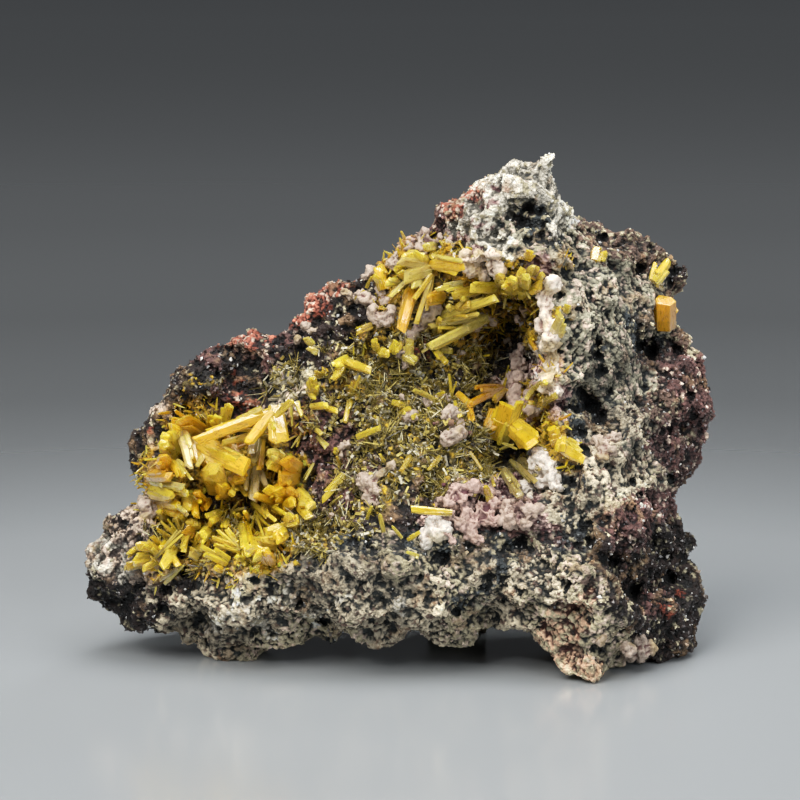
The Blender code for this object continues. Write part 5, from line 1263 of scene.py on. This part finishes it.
# ---- what covers the rock
@dataclass
class Surface:
    """The finished rock's points and triangles, for strewing small things on it."""

    points: np.ndarray
    point_colours: np.ndarray
    corners: np.ndarray  # from here on, one row for each triangle
    normals: np.ndarray
    areas: np.ndarray
    colours: np.ndarray
    kinds: np.ndarray
    proud: np.ndarray

    @classmethod
    def of(cls, rock: MatrixRock) -> "Surface":
        """Read the rock's triangles.

        Args:
            rock: The finished rock.

        Returns:
            Its surface.
        """
        mesh = rock.piece.data
        mesh.calc_loop_triangles()
        points = points_of(rock.piece)
        corners = read(mesh.loop_triangles, "vertices", 3, int)
        sides = points[corners[:, 1:]] - points[corners[:, :1]]
        cross = np.cross(sides[:, 0], sides[:, 1])
        tint = np.empty(len(points) * 4, dtype=np.float32)
        mesh.attributes["tint"].data.foreach_get("color", tint)
        tint = tint.reshape(-1, 4)[:, :3]
        first = corners[:, 0]
        return cls(points, tint, corners, unit(cross), np.linalg.norm(cross, axis=1) / 2.0,
                   tint[first], rock.tint_index[first], rock.proud[corners].mean(axis=1))

    def strew(self, count: int, weights: np.ndarray, chance: np.random.Generator
              ) -> tuple[np.ndarray, np.ndarray]:
        """Choose spots at random, by area and weight.

        Args:
            count: How many.
            weights: One number for each triangle.
            chance: The random numbers.

        Returns:
            The points and the triangles that they lie on.
        """
        shares = self.areas * weights
        chosen = chance.choice(len(shares), size=count, p=shares / shares.sum())
        one, two = np.sqrt(chance.random(count)), chance.random(count)
        corners = self.points[self.corners[chosen]]
        mix = np.stack([1.0 - one, one * (1.0 - two), one * two], axis=1)
        return np.einsum("ij,ijk->ik", mix, corners), chosen

    def middles(self) -> np.ndarray:
        """The middle of each triangle."""
        return self.points[self.corners].mean(axis=1)


def random_turns(count: int, chance: np.random.Generator) -> np.ndarray:
    """Random rotations, from four normal numbers taken as a quaternion."""
    w, x, y, z = unit(chance.normal(size=(count, 4))).T
    return np.stack([
        np.stack([1 - 2 * (y * y + z * z), 2 * (x * y - z * w), 2 * (x * z + y * w)], axis=1),
        np.stack([2 * (x * y + z * w), 1 - 2 * (x * x + z * z), 2 * (y * z - x * w)], axis=1),
        np.stack([2 * (x * z - y * w), 2 * (y * z + x * w), 1 - 2 * (x * x + y * y)], axis=1),
    ], axis=1)


@dataclass
class GrainCrust:
    """Small grains strewn on the parts of the rock that have certain tints."""

    name: str
    finish: MineralFinish
    count: int
    sizes: tuple[float, float]
    shares: dict[Tint, float]
    white_and_glint_share: float = 0.0
    brightness: tuple[float, float] = (0.8, 1.5)
    slot: str = "gossan"
    seed: int = 1

    behind = 0.4  # how densely grains lie behind, where they lie with density 1 in front
    CORNERS = 0.5 * np.array([(1, 0, 0), (-1, 0, 0), (0, 1, 0), (0, -1, 0), (0, 0, 1), (0, 0, -1)])
    SIDES = np.array([(0, 2, 4), (2, 1, 4), (1, 3, 4), (3, 0, 4),
                      (2, 0, 5), (1, 2, 5), (3, 1, 5), (0, 3, 5)])

    def build(self, surface: Surface) -> bpy.types.Object:
        """Strew the grains: eight-sided, each corner out by a length of its own, turned at random.

        Args:
            surface: The rock's surface.

        Returns:
            The finished piece.
        """
        chance = np.random.default_rng(self.seed)
        by_kind = np.array([self.shares.get(tint, 0.0) for tint in TINTS])
        front = facing(surface.normals, -0.5, 0.2)
        weights = by_kind[surface.kinds] * (self.behind + (1.0 - self.behind) * front)
        weights = weights * (surface.middles()[:, 2] > 0.5) * (0.15 + surface.proud ** 2)
        spots, chosen = surface.strew(self.count, weights, chance)
        size = self.sizes[0] + (self.sizes[1] - self.sizes[0]) * chance.random(self.count) ** 2.2
        shape = self.CORNERS[None] * (chance.uniform(0.6, 1.5, (self.count, 6, 1)) * size[:, None, None])
        shape += chance.uniform(-0.15, 0.15, shape.shape) * size[:, None, None]
        turned = np.einsum("nij,nkj->nki", random_turns(self.count, chance), shape)
        points = turned + (spots + surface.normals[chosen] * 0.12 * size[:, None])[:, None]
        points[..., 2] = np.maximum(points[..., 2], LOWEST)
        # Each grain takes the rock's tint, paler or darker by chance; a share are white, partly white
        # grains of the crust and partly painted glints.
        tint = surface.colours[chosen] * chance.uniform(*self.brightness, (self.count, 1))
        white = chance.random(self.count) < self.white_and_glint_share
        tint[white] = linear(WHITE_GRAIN_AND_GLINT) * chance.uniform(0.6, 1.0, (white.sum(), 1))
        faces = (self.SIDES[None] + 6 * np.arange(self.count)[:, None, None]).reshape(-1, 3)
        piece = make_mesh(self.name, points.reshape(-1, 3), [faces],
                          marks={"tint": np.repeat(np.clip(tint, 0.0, 0.85), 6, axis=0)})
        dress(piece, self.finish.material(), self.slot)
        return piece


@dataclass
class NeedleLining:
    """Sprays of fine mimetite needles or stubby crystals that line the bowl."""

    name: str
    sprays: int
    per_spray: int
    lengths: tuple[float, float]
    radii: tuple[float, float]
    tones: list[tuple[str, float]]
    spread: float = 0.85  # how far the needles of a spray splay
    blunt: float = 0.2  # 0 for a long point and 1 for a short one
    stands_for: tuple[str, ...] = ()
    seed: int = 5

    def build(self, surface: Surface) -> bpy.types.Object:
        """Strew sprays and grow needles from each: three-sided, with a point.

        Args:
            surface: The rock's surface.

        Returns:
            The finished piece.
        """
        chance = np.random.default_rng(self.seed)
        across, up = SIGHT.seen(surface.middles())
        weight = reach_of(NEEDLE_SPOTS, across, up) * facing(surface.normals, -0.4, 0.3)
        spots, chosen = surface.strew(self.sprays, weight, chance)
        lean = unit(surface.normals[chosen] - 0.5 * SIGHT.forward()
                    + chance.normal(0.0, 0.5, (self.sprays, 3)))
        size = chance.uniform(0.55, 1.0, self.sprays)
        count = self.sprays * self.per_spray
        home = np.repeat(np.arange(self.sprays), self.per_spray)
        way = unit(lean[home] + self.spread * chance.normal(0.0, 0.75, (count, 3)))
        length = chance.uniform(*self.lengths, count) * size[home]
        radius = chance.uniform(*self.radii, count)
        root = spots[home] + chance.normal(0.0, 0.22, (count, 3)) - 0.2 * way
        side = unit(np.cross(way, chance.normal(size=(count, 3))))
        other = np.cross(way, side)
        shoulder = 0.8 + 0.17 * self.blunt
        points = np.empty((count, 7, 3))
        for corner in range(3):
            turn = math.tau * corner / 3.0
            out = side * math.cos(turn) + other * math.sin(turn)
            points[:, corner] = root + out * radius[:, None]
            points[:, 3 + corner] = root + way * shoulder * length[:, None] + out * (0.85 * radius)[:, None]
        points[:, 6] = root + way * length[:, None]
        tones = [linear(colour) for colour, _ in self.tones]
        picks = chance.choice(len(tones), size=count, p=[share for _, share in self.tones])
        tint = np.array(tones)[picks] * chance.uniform(0.7, 1.25, (count, 1))
        step = 7 * np.arange(count)[:, None, None]
        quads = np.array([(0, 1, 4, 3), (1, 2, 5, 4), (2, 0, 3, 5)])[None] + step
        tips = np.array([(3, 4, 6), (4, 5, 6), (5, 3, 6)])[None] + step
        piece = make_mesh(self.name, points.reshape(-1, 3),
                          [quads.reshape(-1, 4), tips.reshape(-1, 3)],
                          marks={"tint": np.repeat(np.clip(tint, 0.0, 0.9), 7, axis=0)})
        dress(piece, MIMETITE_NEEDLE.material(), "needle_druse", *self.stands_for)
        return piece


# ---- crystals
@dataclass(frozen=True)
class Habit:
    """How crystals of one kind grow."""

    cut: float  # how much of each edge is taken off; 0 leaves six points in the section, few rings
    taper: float  # how much narrower they get to their tips; each narrows by a chance more
    snapped_share: float = 0.6  # of those that do not point at the viewer or away
    chisel_share: float = 0.6  # of the rest


BLADED = Habit(cut=0.05, taper=0.0)
TAPERING = Habit(cut=0.0, taper=0.35)


@dataclass
class CrystalGroup:
    """Mimetite prisms and blades grown together: each row is one crystal with a few smaller ones
    that lie along it."""

    name: str
    rows: list[CrystalRow]
    stands_for: tuple[str, ...] = ()
    companions: int = 2
    seed: int = 1

    def build(self, probe: Probe) -> bpy.types.Object:
        """Place the group's crystals and shape them.

        Args:
            probe: Finds the rock behind each end.

        Returns:
            The finished piece.
        """
        chance = np.random.default_rng(self.seed)
        roots = np.array([probe.spot(*row[0:3]) for row in self.rows])
        tips = np.array([probe.spot(*row[3:6]) for row in self.rows])
        sizes = np.array([row[6:9] for row in self.rows], dtype=float)
        tints = np.array([linear(row[9].value) for row in self.rows])
        placed = self._with_companions(roots, tips, sizes, tints, chance)
        piece = prisms(self.name, *placed, chance)
        dress(piece, MIMETITE.material(), "mimetite", *self.stands_for)
        return piece

    def _with_companions(self, roots: np.ndarray, tips: np.ndarray, sizes: np.ndarray,
                         tints: np.ndarray, chance: np.random.Generator) -> tuple[np.ndarray, ...]:
        """Add smaller crystals beside each one, nearly along it and a little shorter."""
        home = np.repeat(np.arange(len(roots)), self.companions)
        count = len(home)
        way = unit(tips[home] - roots[home])
        width = sizes[home, 0]
        side = unit(np.cross(way, SIGHT.forward()))
        out = np.cross(side, way)
        turn = chance.uniform(0.0, math.tau, count)
        reach = 0.3 * width
        move = (side * np.cos(turn)[:, None] * reach[:, None]
                + out * np.sin(turn)[:, None] * (reach * sizes[home, 1] / width)[:, None])
        short = chance.uniform(0.5, 0.95, count)[:, None]
        axis = tips[home] - roots[home]
        spread = np.where(chance.random(count) < 0.4, 0.16, 0.05) * np.linalg.norm(axis, axis=1)
        splay = chance.normal(0.0, 1.0, (count, 3)) * spread[:, None]
        more_tips = roots[home] + axis * short + move + splay
        thinner = chance.uniform(0.55, 0.85, count)
        more_sizes = sizes[home] * np.stack([thinner, thinner, np.ones(count)], axis=1)
        more_sizes[:, 2] += chance.uniform(-25.0, 25.0, count)
        return (np.concatenate([roots, roots[home] + move]), np.concatenate([tips, more_tips]),
                np.concatenate([sizes, more_sizes]), np.concatenate([tints, tints[home]]))


def prisms(name: str, roots: np.ndarray, tips: np.ndarray, sizes: np.ndarray, tints: np.ndarray,
           chance: np.random.Generator, habit: Habit = BLADED) -> bpy.types.Object:
    """Flattened six-sided prisms with their edges taken off, carried from root to tip.

    The section has corners at half the width and at the broad face's edges; each corner is cut
    back to two points. It swells a little towards the middle, steps in once, and either closes to
    a skew chisel or is snapped off aslant. The axis bows slightly across the blade.

    Args:
        name: The piece's name.
        roots: Where each crystal starts.
        tips: Where it ends.
        sizes: Its width, thickness and turn about its length in degrees.
        tints: Its linear colour.
        chance: The random numbers.
        habit: How they grow.

    Returns:
        The piece, with its colours and each crystal's own axes kept on it.
    """
    count = len(roots)
    axis = tips - roots
    length = np.linalg.norm(axis, axis=1)
    way = unit(axis)
    side = unit(np.cross(way, SIGHT.forward() + 1e-3))
    flat = np.cross(side, way)
    turn = np.radians(sizes[:, 2])[:, None]
    side, flat = side * np.cos(turn) + flat * np.sin(turn), flat * np.cos(turn) - side * np.sin(turn)
    broad = np.clip(0.25 + 0.14 * (1.0 - sizes[:, 1] / sizes[:, 0]), 0.25, 0.4)
    corner_x = np.stack([np.full(count, 0.5), broad, -broad, np.full(count, -0.5), -broad, broad], axis=1)
    corner_y = np.tile(np.array([0.0, 0.5, 0.5, 0.0, -0.5, -0.5]), (count, 1))
    corner_x = corner_x * chance.uniform(0.82, 1.12, (count, 6))
    corner_y = corner_y * chance.uniform(0.8, 1.12, (count, 6))
    cut = habit.cut
    if cut:
        corner_x, corner_y = (np.stack([(1 - cut) * corner + cut * np.roll(corner, 1, axis=1),
                                        (1 - cut) * corner + cut * np.roll(corner, -1, axis=1)],
                                       axis=2).reshape(count, 12) for corner in (corner_x, corner_y))
    snapped = (chance.random(count) < habit.snapped_share) & (np.abs(way @ SIGHT.forward()) < 0.7)
    chisel = ~snapped & (chance.random(count) < habit.chisel_share)
    point = np.minimum(0.4 * sizes[:, 0] * chance.uniform(0.5, 1.5, count), 0.35 * length) / length
    point = np.where(snapped, 0.15 * point, point)
    blunt = chance.uniform(0.45, 0.8, count)
    one, knee = np.ones(count), chance.uniform(0.3, 0.85, count)
    step_in = 1.0 - 0.12 * chance.random(count) ** 2
    # Each ring: how far along, how wide, how thick.
    rings = [
        (0.0 * one, 0.85 * one, 0.85 * one),
        (0.5 * knee * (1 - point), one, one),
        (knee * (1 - point), 0.99 * one, one),
        ((knee + 0.02) * (1 - point), 0.99 * step_in, step_in),
        (1 - point, 0.96 * step_in, 0.94 * step_in),
        (1 - 0.2 * point, np.where(snapped, 0.94 * step_in, 0.3 + 0.55 * blunt),
         np.where(snapped, 0.92 * step_in, 0.2 + 0.6 * blunt)),
        (one, np.where(snapped, 0.9 * step_in, 0.75 * blunt),
         np.where(snapped, 0.88 * step_in, 0.7 * blunt)),
    ]
    rings[5:] = [(ring[0], np.where(chisel, width, ring[1]), np.where(chisel, thickness, ring[2]))
                 for ring, width, thickness in zip(rings[5:], (0.9, 0.82), (0.28, 0.06))]
    if not cut:
        rings = [rings[0], rings[2], rings[4], rings[6]]
    last = len(rings) - 2 if cut else len(rings) - 1
    steps, wide, thick = (np.stack(part, axis=1) for part in zip(*rings))
    lance = (0.5 * chance.random(count) ** 1.5 + habit.taper)[:, None]
    wide, thick = (part * (1.0 - lance * steps ** 2) * (1.0 - 0.5 * lance * (1.0 - steps) ** 2)
                   for part in (wide, thick))
    wobble = chance.uniform(0.9, 1.08, steps.shape)
    at_tip = np.arange(len(rings)) >= last
    skew = chance.uniform(-0.25, 0.25, count)[:, None] * (1.0 - wide / 0.88) * at_tip
    bow = chance.normal(0.0, 0.015, count)[:, None] * length[:, None] * 4.0 * steps * (1.0 - steps)
    x = sizes[:, 0, None, None] * (corner_x[:, None] * (wide * wobble)[..., None] + skew[..., None])
    y = sizes[:, 1, None, None] * corner_y[:, None] * (thick * wobble)[..., None] + bow[..., None]
    z = np.broadcast_to((steps * length[:, None])[..., None], x.shape)
    # The tip is cut aslant: one side of it ends sooner.
    slant = chance.uniform(-0.5, 0.5, count)[:, None, None] * sizes[:, 0, None, None] * corner_x[:, None]
    z = z + slant * at_tip[None, :, None]
    points = (roots[:, None, None] + x[..., None] * side[:, None, None]
              + y[..., None] * flat[:, None, None] + z[..., None] * way[:, None, None])
    points[..., 2] = np.maximum(points[..., 2], LOWEST)
    growth = np.stack([x, y, z], axis=-1) + chance.uniform(0.0, 90.0, (count, 1, 1, 1))
    along = np.linspace(0.0, 1.0, len(rings))[None, :, None, None]
    tint = tints * chance.uniform(0.78, 1.12, (count, 1))
    tint = tint * chance.uniform((1, 0.94, 0.45), (1, 1.05, 1.1), (count, 3))  # some are deeper yellow
    colour = (tint[:, None, None] * (0.78 + 0.3 * along)) * np.ones((1, 1, x.shape[2], 1))
    number = np.arange(x.size).reshape(x.shape)
    low, high = number[:, :-1], number[:, 1:]
    walls = np.stack([low, np.roll(low, -1, axis=2), np.roll(high, -1, axis=2), high], axis=-1)
    caps = np.concatenate([number[:, 0, ::-1], number[:, -1]])
    marks = {"tint": np.clip(colour, 0.0, 0.92).reshape(-1, 3), "growth": growth.reshape(-1, 3)}
    return make_mesh(name, points.reshape(-1, 3), [walls.reshape(-1, 4), caps], marks=marks)


@dataclass
class MimetiteDruse:
    """Small mimetite crystals that fill the gaps of the groups."""

    name: str
    count: int
    lengths: tuple[float, float] = (0.4, 1.8)
    widths: tuple[float, float] = (0.13, 0.42)
    tones: tuple[Tone, ...] = (Tone.HONEY, Tone.LEMON, Tone.LEMON, Tone.OLIVE, Tone.AMBER, Tone.STRAW)
    seed: int = 40

    def build(self, surface: Surface) -> bpy.types.Object:
        """Strew the crystals over the spots, leaning out of the rock.

        Args:
            surface: The rock's surface.

        Returns:
            The finished piece.
        """
        chance = np.random.default_rng(self.seed)
        across, up = SIGHT.seen(surface.middles())
        weight = reach_of(YELLOW_SPOTS, across, up) * facing(surface.normals, -0.3, 0.3)
        roots, chosen = surface.strew(self.count, weight, chance)
        lean = chance.normal(0.0, 0.55, (self.count, 3))
        way = unit(surface.normals[chosen] - 0.4 * SIGHT.forward() + lean)
        big = chance.random(self.count) ** 2
        more = (self.lengths[1] - self.lengths[0]) * big * chance.uniform(0.5, 1.0, self.count)
        length = self.lengths[0] + more
        width = self.widths[0] + (self.widths[1] - self.widths[0]) * big
        sizes = np.stack([width, width * chance.uniform(0.4, 0.95, self.count),
                          chance.uniform(0.0, 180.0, self.count)], axis=1)
        tones = np.array([linear(tone.value) for tone in self.tones])
        tints = tones[chance.integers(len(tones), size=self.count)]
        piece = prisms(self.name, roots - 0.25 * way, roots + way * length[:, None], sizes, tints, chance,
                       TAPERING)
        dress(piece, MIMETITE.material(), "mimetite")
        return piece


# ---- carbonate knobs
@dataclass
class Knob:
    """A knob of pale carbonate: overlapping round lumps made one, then covered with grains."""

    name: str
    lumps: list[Spot]
    stands_for: tuple[str, ...]
    colour: str
    hollow_shade_colour: str
    stain_colour: str
    seed: int
    voxel: float = 0.15
    grain: float = 0.4
    grain_height: float = 0.12

    def build(self, probe: Probe) -> bpy.types.Object:
        """Place the lumps on the rock, join them and roughen them.

        Args:
            probe: Finds the rock behind each lump.

        Returns:
            The finished piece.
        """
        chance = np.random.default_rng(self.seed)
        balls, faces, start = [], [], 0
        for across, up, radius in self.lumps:
            centre = probe.spot(across, up, 0.25 * radius)
            points, quads = self._ball(centre, radius * chance.uniform(0.75, 1.15, 3))
            balls.append(points)
            faces.append(quads + start)
            start += len(points)
        piece = make_mesh(self.name, np.concatenate(balls), faces)
        remesh(piece, self.voxel)
        points = points_of(piece)
        border, _, own = grains(warped(points, 1.0, 0.2, self.seed), self.grain, self.seed + 3)
        big = 1.0 - grains(points, 1.3, self.seed + 9)[0] ** 2
        push(piece, self.grain_height * (1.6 * own - 0.9 * ramp(border, 0.6, 1.0)) + 0.14 * (big - 0.8)
             + 0.5 * fractal(points, 1.6, 4, self.seed + 5)
             - 0.3 * ramp(np.abs(fractal(points, 0.9, 2, self.seed + 6)), 0.0, 0.5))
        points = points_of(piece)
        # Painted shade: where the knob curves in, its colour turns to the hollow colour.
        level = neighbour_mean(points, edges_of(piece), 8)
        hollow = np.einsum("ij,ij->i", level - points, normals_of(piece))
        hollow_shade = ramp(hollow + 0.08 * fractal(points, 1.5, 2, self.seed + 7), -0.02, 0.16)
        tint = blend(linear(self.colour), linear(self.hollow_shade_colour), hollow_shade)
        stain = 0.6 * ramp(fractal(points, 1.8, 3, self.seed + 12), 0.05, 0.5)
        tint = blend(tint, linear(self.stain_colour), stain)
        tint = tint * (0.78 + 0.36 * grains(points, self.grain, self.seed + 8)[2])[:, None]
        mark(piece, "tint", np.clip(tint, 0.0, 0.92))
        dress(piece, WAXY_CALCITE.material(), "carbonate", *self.stands_for)
        return piece

    @staticmethod
    def _ball(centre: np.ndarray, radii: np.ndarray) -> tuple[np.ndarray, np.ndarray]:
        """A ball over two angles: rings of latitude that close to a point at each pole."""
        turns, rises = 14, 9
        turn = np.arange(turns) * math.tau / turns
        rise = (np.arange(rises) + 0.5) * math.pi / rises
        ring = np.stack([np.outer(np.sin(rise), np.cos(turn)), np.outer(np.sin(rise), np.sin(turn)),
                         np.outer(np.cos(rise), np.ones(turns))], axis=-1).reshape(-1, 3)
        number, right, quads = ring_grid(rises, turns)
        top, low = rises * turns, rises * turns + 1
        lid = np.stack([np.full(turns, top), number[0], right[0], right[0]], axis=-1)
        base = np.stack([np.full(turns, low), right[-1], number[-1], number[-1]], axis=-1)
        points = np.concatenate([ring, [[0.0, 0.0, 1.0], [0.0, 0.0, -1.0]]]) * radii + centre
        return points, np.concatenate([quads, lid, base])


# ---- what is strewn on the rock
CRUSTS = [
    GrainCrust("dolomite_crust", SUGARY_DOLOMITE, 9500, (0.12, 0.38), {
        Tint.CREAM: 1.0, Tint.PALE: 1.0, Tint.STONE: 0.7, Tint.TEAL: 0.25, Tint.PINK: 0.9,
        Tint.SALMON: 0.8, Tint.BRICK: 0.6, Tint.FLESH: 1.0, Tint.SLATE: 0.2,
    }, white_and_glint_share=0.012, brightness=(0.7, 1.1), seed=11),
    GrainCrust("goethite_druse", DRUSY_GOETHITE, 9500, (0.13, 0.45), {
        Tint.BLACK: 1.0, Tint.PLUM: 0.9, Tint.SLATE: 0.8, Tint.UMBER: 0.5, Tint.OLIVE: 0.4,
    }, white_and_glint_share=0.04, brightness=(0.5, 2.0), seed=12),
    GrainCrust("mimetite_crust", MIMETITE_GRAIN, 3200, (0.25, 0.7), {
        Tint.OCHRE: 1.0, Tint.OLIVE: 0.12,
    }, white_and_glint_share=0.03, brightness=(1.0, 1.9), slot="mimetite", seed=13),
]
LININGS = [
    NeedleLining("mimetite_needles", 390, 13, (0.6, 2.6), (0.03, 0.075), NEEDLE_TONES_AND_HIGHLIGHT,
                 stands_for=("needle_druse",), seed=5),
    NeedleLining("mimetite_stubs", 700, 6, (0.35, 1.2), (0.08, 0.2), STUB_TONES, spread=1.1,
                 blunt=1.0, seed=6),
]
GAP_DRUSE = MimetiteDruse("mimetite_druse", 2450)


# ---- the studio
@dataclass(frozen=True)
class Lamp:
    """A square light that is aimed at the specimen and hidden from the camera."""

    name: str
    place: tuple[float, float, float]  # millimetres
    side: float  # metres
    watts: float
    colour: tuple[float, float, float] = (1.0, 1.0, 1.0)
    spread: float = math.pi
    mirrored: bool = True  # whether glossy surfaces show it

    AIM = (0.0, 0.0, 0.022)  # metres

    def build(self) -> None:
        """Add the light to the scene."""
        light = bpy.data.lights.new(self.name, "AREA")
        light.size, light.spread = self.side, self.spread
        light.energy, light.color = self.watts, self.colour
        holder = bpy.data.objects.new(self.name, light)
        bpy.context.scene.collection.objects.link(holder)
        holder.location = Vector(self.place) * MM
        aim = Vector(self.AIM) - holder.location
        holder.rotation_euler = aim.to_track_quat("-Z", "Y").to_euler()
        holder.visible_camera, holder.visible_glossy = False, self.mirrored


# A soft key above and left in front, a top light, a fill, a faint light on what faces back, and
# two small lights for glints.
LAMPS = [
    Lamp("key", (-200, -340, 420), 0.34, 3.9, (1.0, 0.98, 0.94)),
    Lamp("top", (60, -60, 480), 0.4, 3.1),
    Lamp("fill", (400, -420, 200), 0.4, 1.7, (0.93, 0.97, 1.0)),
    Lamp("behind", (160, 470, 300), 0.15, 0.06, (0.96, 0.98, 1.0), spread=0.7, mirrored=False),
    Lamp("glint_left", (-140, -420, 260), 0.02, 0.22),
    Lamp("glint_right", (180, -380, 300), 0.02, 0.18),
]


@dataclass
class Studio:
    """A table, soft light and the camera; the table is painted darkest a little behind the specimen and
    pale far away, painted shade for the falloff of the light."""

    # Distance from the specimen in millimetres, and how pale the table is there: painted shade for the
    # falloff of the light.
    painted_falloff: tuple[tuple[float, float], ...] = (
        (40.0, 0.31), (75.0, 0.285), (105.0, 0.235), (150.0, 0.175), (190.0, 0.15), (300.0, 0.165),
        (500.0, 0.27), (900.0, 0.5), (2400.0, 0.98))
    table_rings: tuple[float, ...] = (60.0, 120.0, 240.0, 480.0, 1000.0, 4500.0)
    table_turns: int = 64
    air: tuple[float, float, float, float] = (0.05, 0.052, 0.055, 1.0)
    focal_length: float = 150.0
    sensor: float = 36.0
    # Tones are kept up to the first point; from there the brightest bend over to the last.
    tones: tuple[tuple[float, float], ...] = ((0.25, 0.25), (0.45, 0.44), (0.7, 0.62), (1.0, 0.78))

    def build(self) -> None:
        """Set up the table, the lights and the camera."""
        self._table()
        world = bpy.data.worlds.new("studio")
        world.use_nodes = True
        world.node_tree.nodes["Background"].inputs[0].default_value = self.air
        bpy.context.scene.world = world
        for lamp in LAMPS:
            lamp.build()
        self._camera()
        self._tone()

    def _table(self) -> None:
        """A flat round table of glossy painted board, as rings about the specimen."""
        turn = np.arange(self.table_turns) * math.tau / self.table_turns
        radii = np.array(self.table_rings)
        rings = np.stack([np.outer(radii, np.cos(turn)), np.outer(radii, np.sin(turn)),
                          np.zeros((len(radii), len(turn)))], axis=-1).reshape(-1, 3)
        number, _, quads = ring_grid(len(radii), len(turn))
        table = make_mesh("table", rings, [quads, number[0][None]], smooth=True)
        table.data.materials.append(self._board())

    def _board(self) -> bpy.types.Material:
        """Painted board, rolled smooth under a gloss that gives back soft lights; its shade, painted for
        the falloff of the light, goes by the logarithm of the distance in metres, from 0.01 m to 10 m."""
        made, tree = empty_material("board_painted_gloss")
        place = add_node(tree, "TexCoord").outputs["Object"]
        split = add_node(tree, "SeparateXYZ", {"Vector": place})
        flat = add_node(tree, "CombineXYZ", {"X": split.outputs["X"], "Y": split.outputs["Y"]})
        far = add_node(tree, "VectorMath", {0: flat.outputs[0]}, operation="LENGTH").outputs["Value"]
        power = add_node(tree, "Math", {0: far, 1: 10.0}, operation="LOGARITHM").outputs[0]
        nearest, furthest = -2.0, 1.0
        part = add_node(tree, "MapRange", {"Value": power, "From Min": nearest, "From Max": furthest})
        tint = add_node(tree, "ValToRGB", {"Fac": part.outputs["Result"]})
        stops = tint.color_ramp.elements
        stops.remove(stops[1])
        for number, (distance, shade) in enumerate(self.painted_falloff):
            position = (math.log10(distance * MM) - nearest) / (furthest - nearest)
            stop = stops.new(position) if number else stops[0]
            stop.position = position
            stop.color = (0.94 * shade, shade, min(1.04 * shade, 1.0), 1.0)
        shader = add_node(tree, "BsdfPrincipled", {"Base Color": tint.outputs["Color"], "Roughness": 0.16,
                                                   "IOR": 1.35, "Specular IOR Level": 0.4})
        add_node(tree, "OutputMaterial", {"Surface": shader.outputs[0]})
        return made

    def _camera(self) -> None:
        """A long lens at the viewer's eye."""
        lens = bpy.data.cameras.new("camera")
        lens.lens, lens.sensor_width = self.focal_length, self.sensor
        lens.clip_start, lens.clip_end = 0.02, 20.0
        camera = bpy.data.objects.new("camera", lens)
        bpy.context.scene.collection.objects.link(camera)
        camera.location = Vector(SIGHT.eye()) * MM
        camera.rotation_euler = Vector(SIGHT.forward()).to_track_quat("-Z", "Y").to_euler()
        bpy.context.scene.camera = camera

    def _tone(self) -> None:
        """Keep colours plain, and bend the brightest tones over so that they do not burn out."""
        view = bpy.context.scene.view_settings
        view.view_transform = "Standard"
        view.use_curve_mapping = True
        curve = view.curve_mapping.curves[3]
        curve.points[1].location = self.tones[-1]
        for place in self.tones[:-1]:
            curve.points.new(*place)
        view.curve_mapping.update()


def main() -> None:
    """Set up the studio, build and dress the specimen, and log each piece's triangles."""
    logging.basicConfig(level=logging.INFO, format="%(name)s: %(message)s")
    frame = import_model()
    Studio().build()
    rock_node = frame["nodes"]["matrix_rock"]
    probe = Probe(rock_node)
    rock = MatrixRock()
    rock.build(rock_node)
    surface = rock.surface
    for covering in (*CRUSTS, *LININGS, GAP_DRUSE):
        covering.build(surface)
    for number, (name, lumps) in enumerate(KNOB_LUMPS.items()):
        stands_for = (name,) if name in frame["nodes"] else ()
        colours = KNOB_COLOURS.get(name, KNOB_COLOURS["scattered_knobs"])
        Knob(f"calcite_{name}", lumps, stands_for, *colours, 200 + 20 * number).build(probe)
    for number, (name, rows) in enumerate(CRYSTAL_ROWS.items()):
        stands_for = (f"mimetite_{name}",) if f"mimetite_{name}" in frame["nodes"] else ()
        companions = 1 if name == "scattered_blades" else 2
        CrystalGroup(f"crystals_{name}", rows, stands_for, companions, 300 + number).build(probe)


if __name__ == "__main__":
    main()
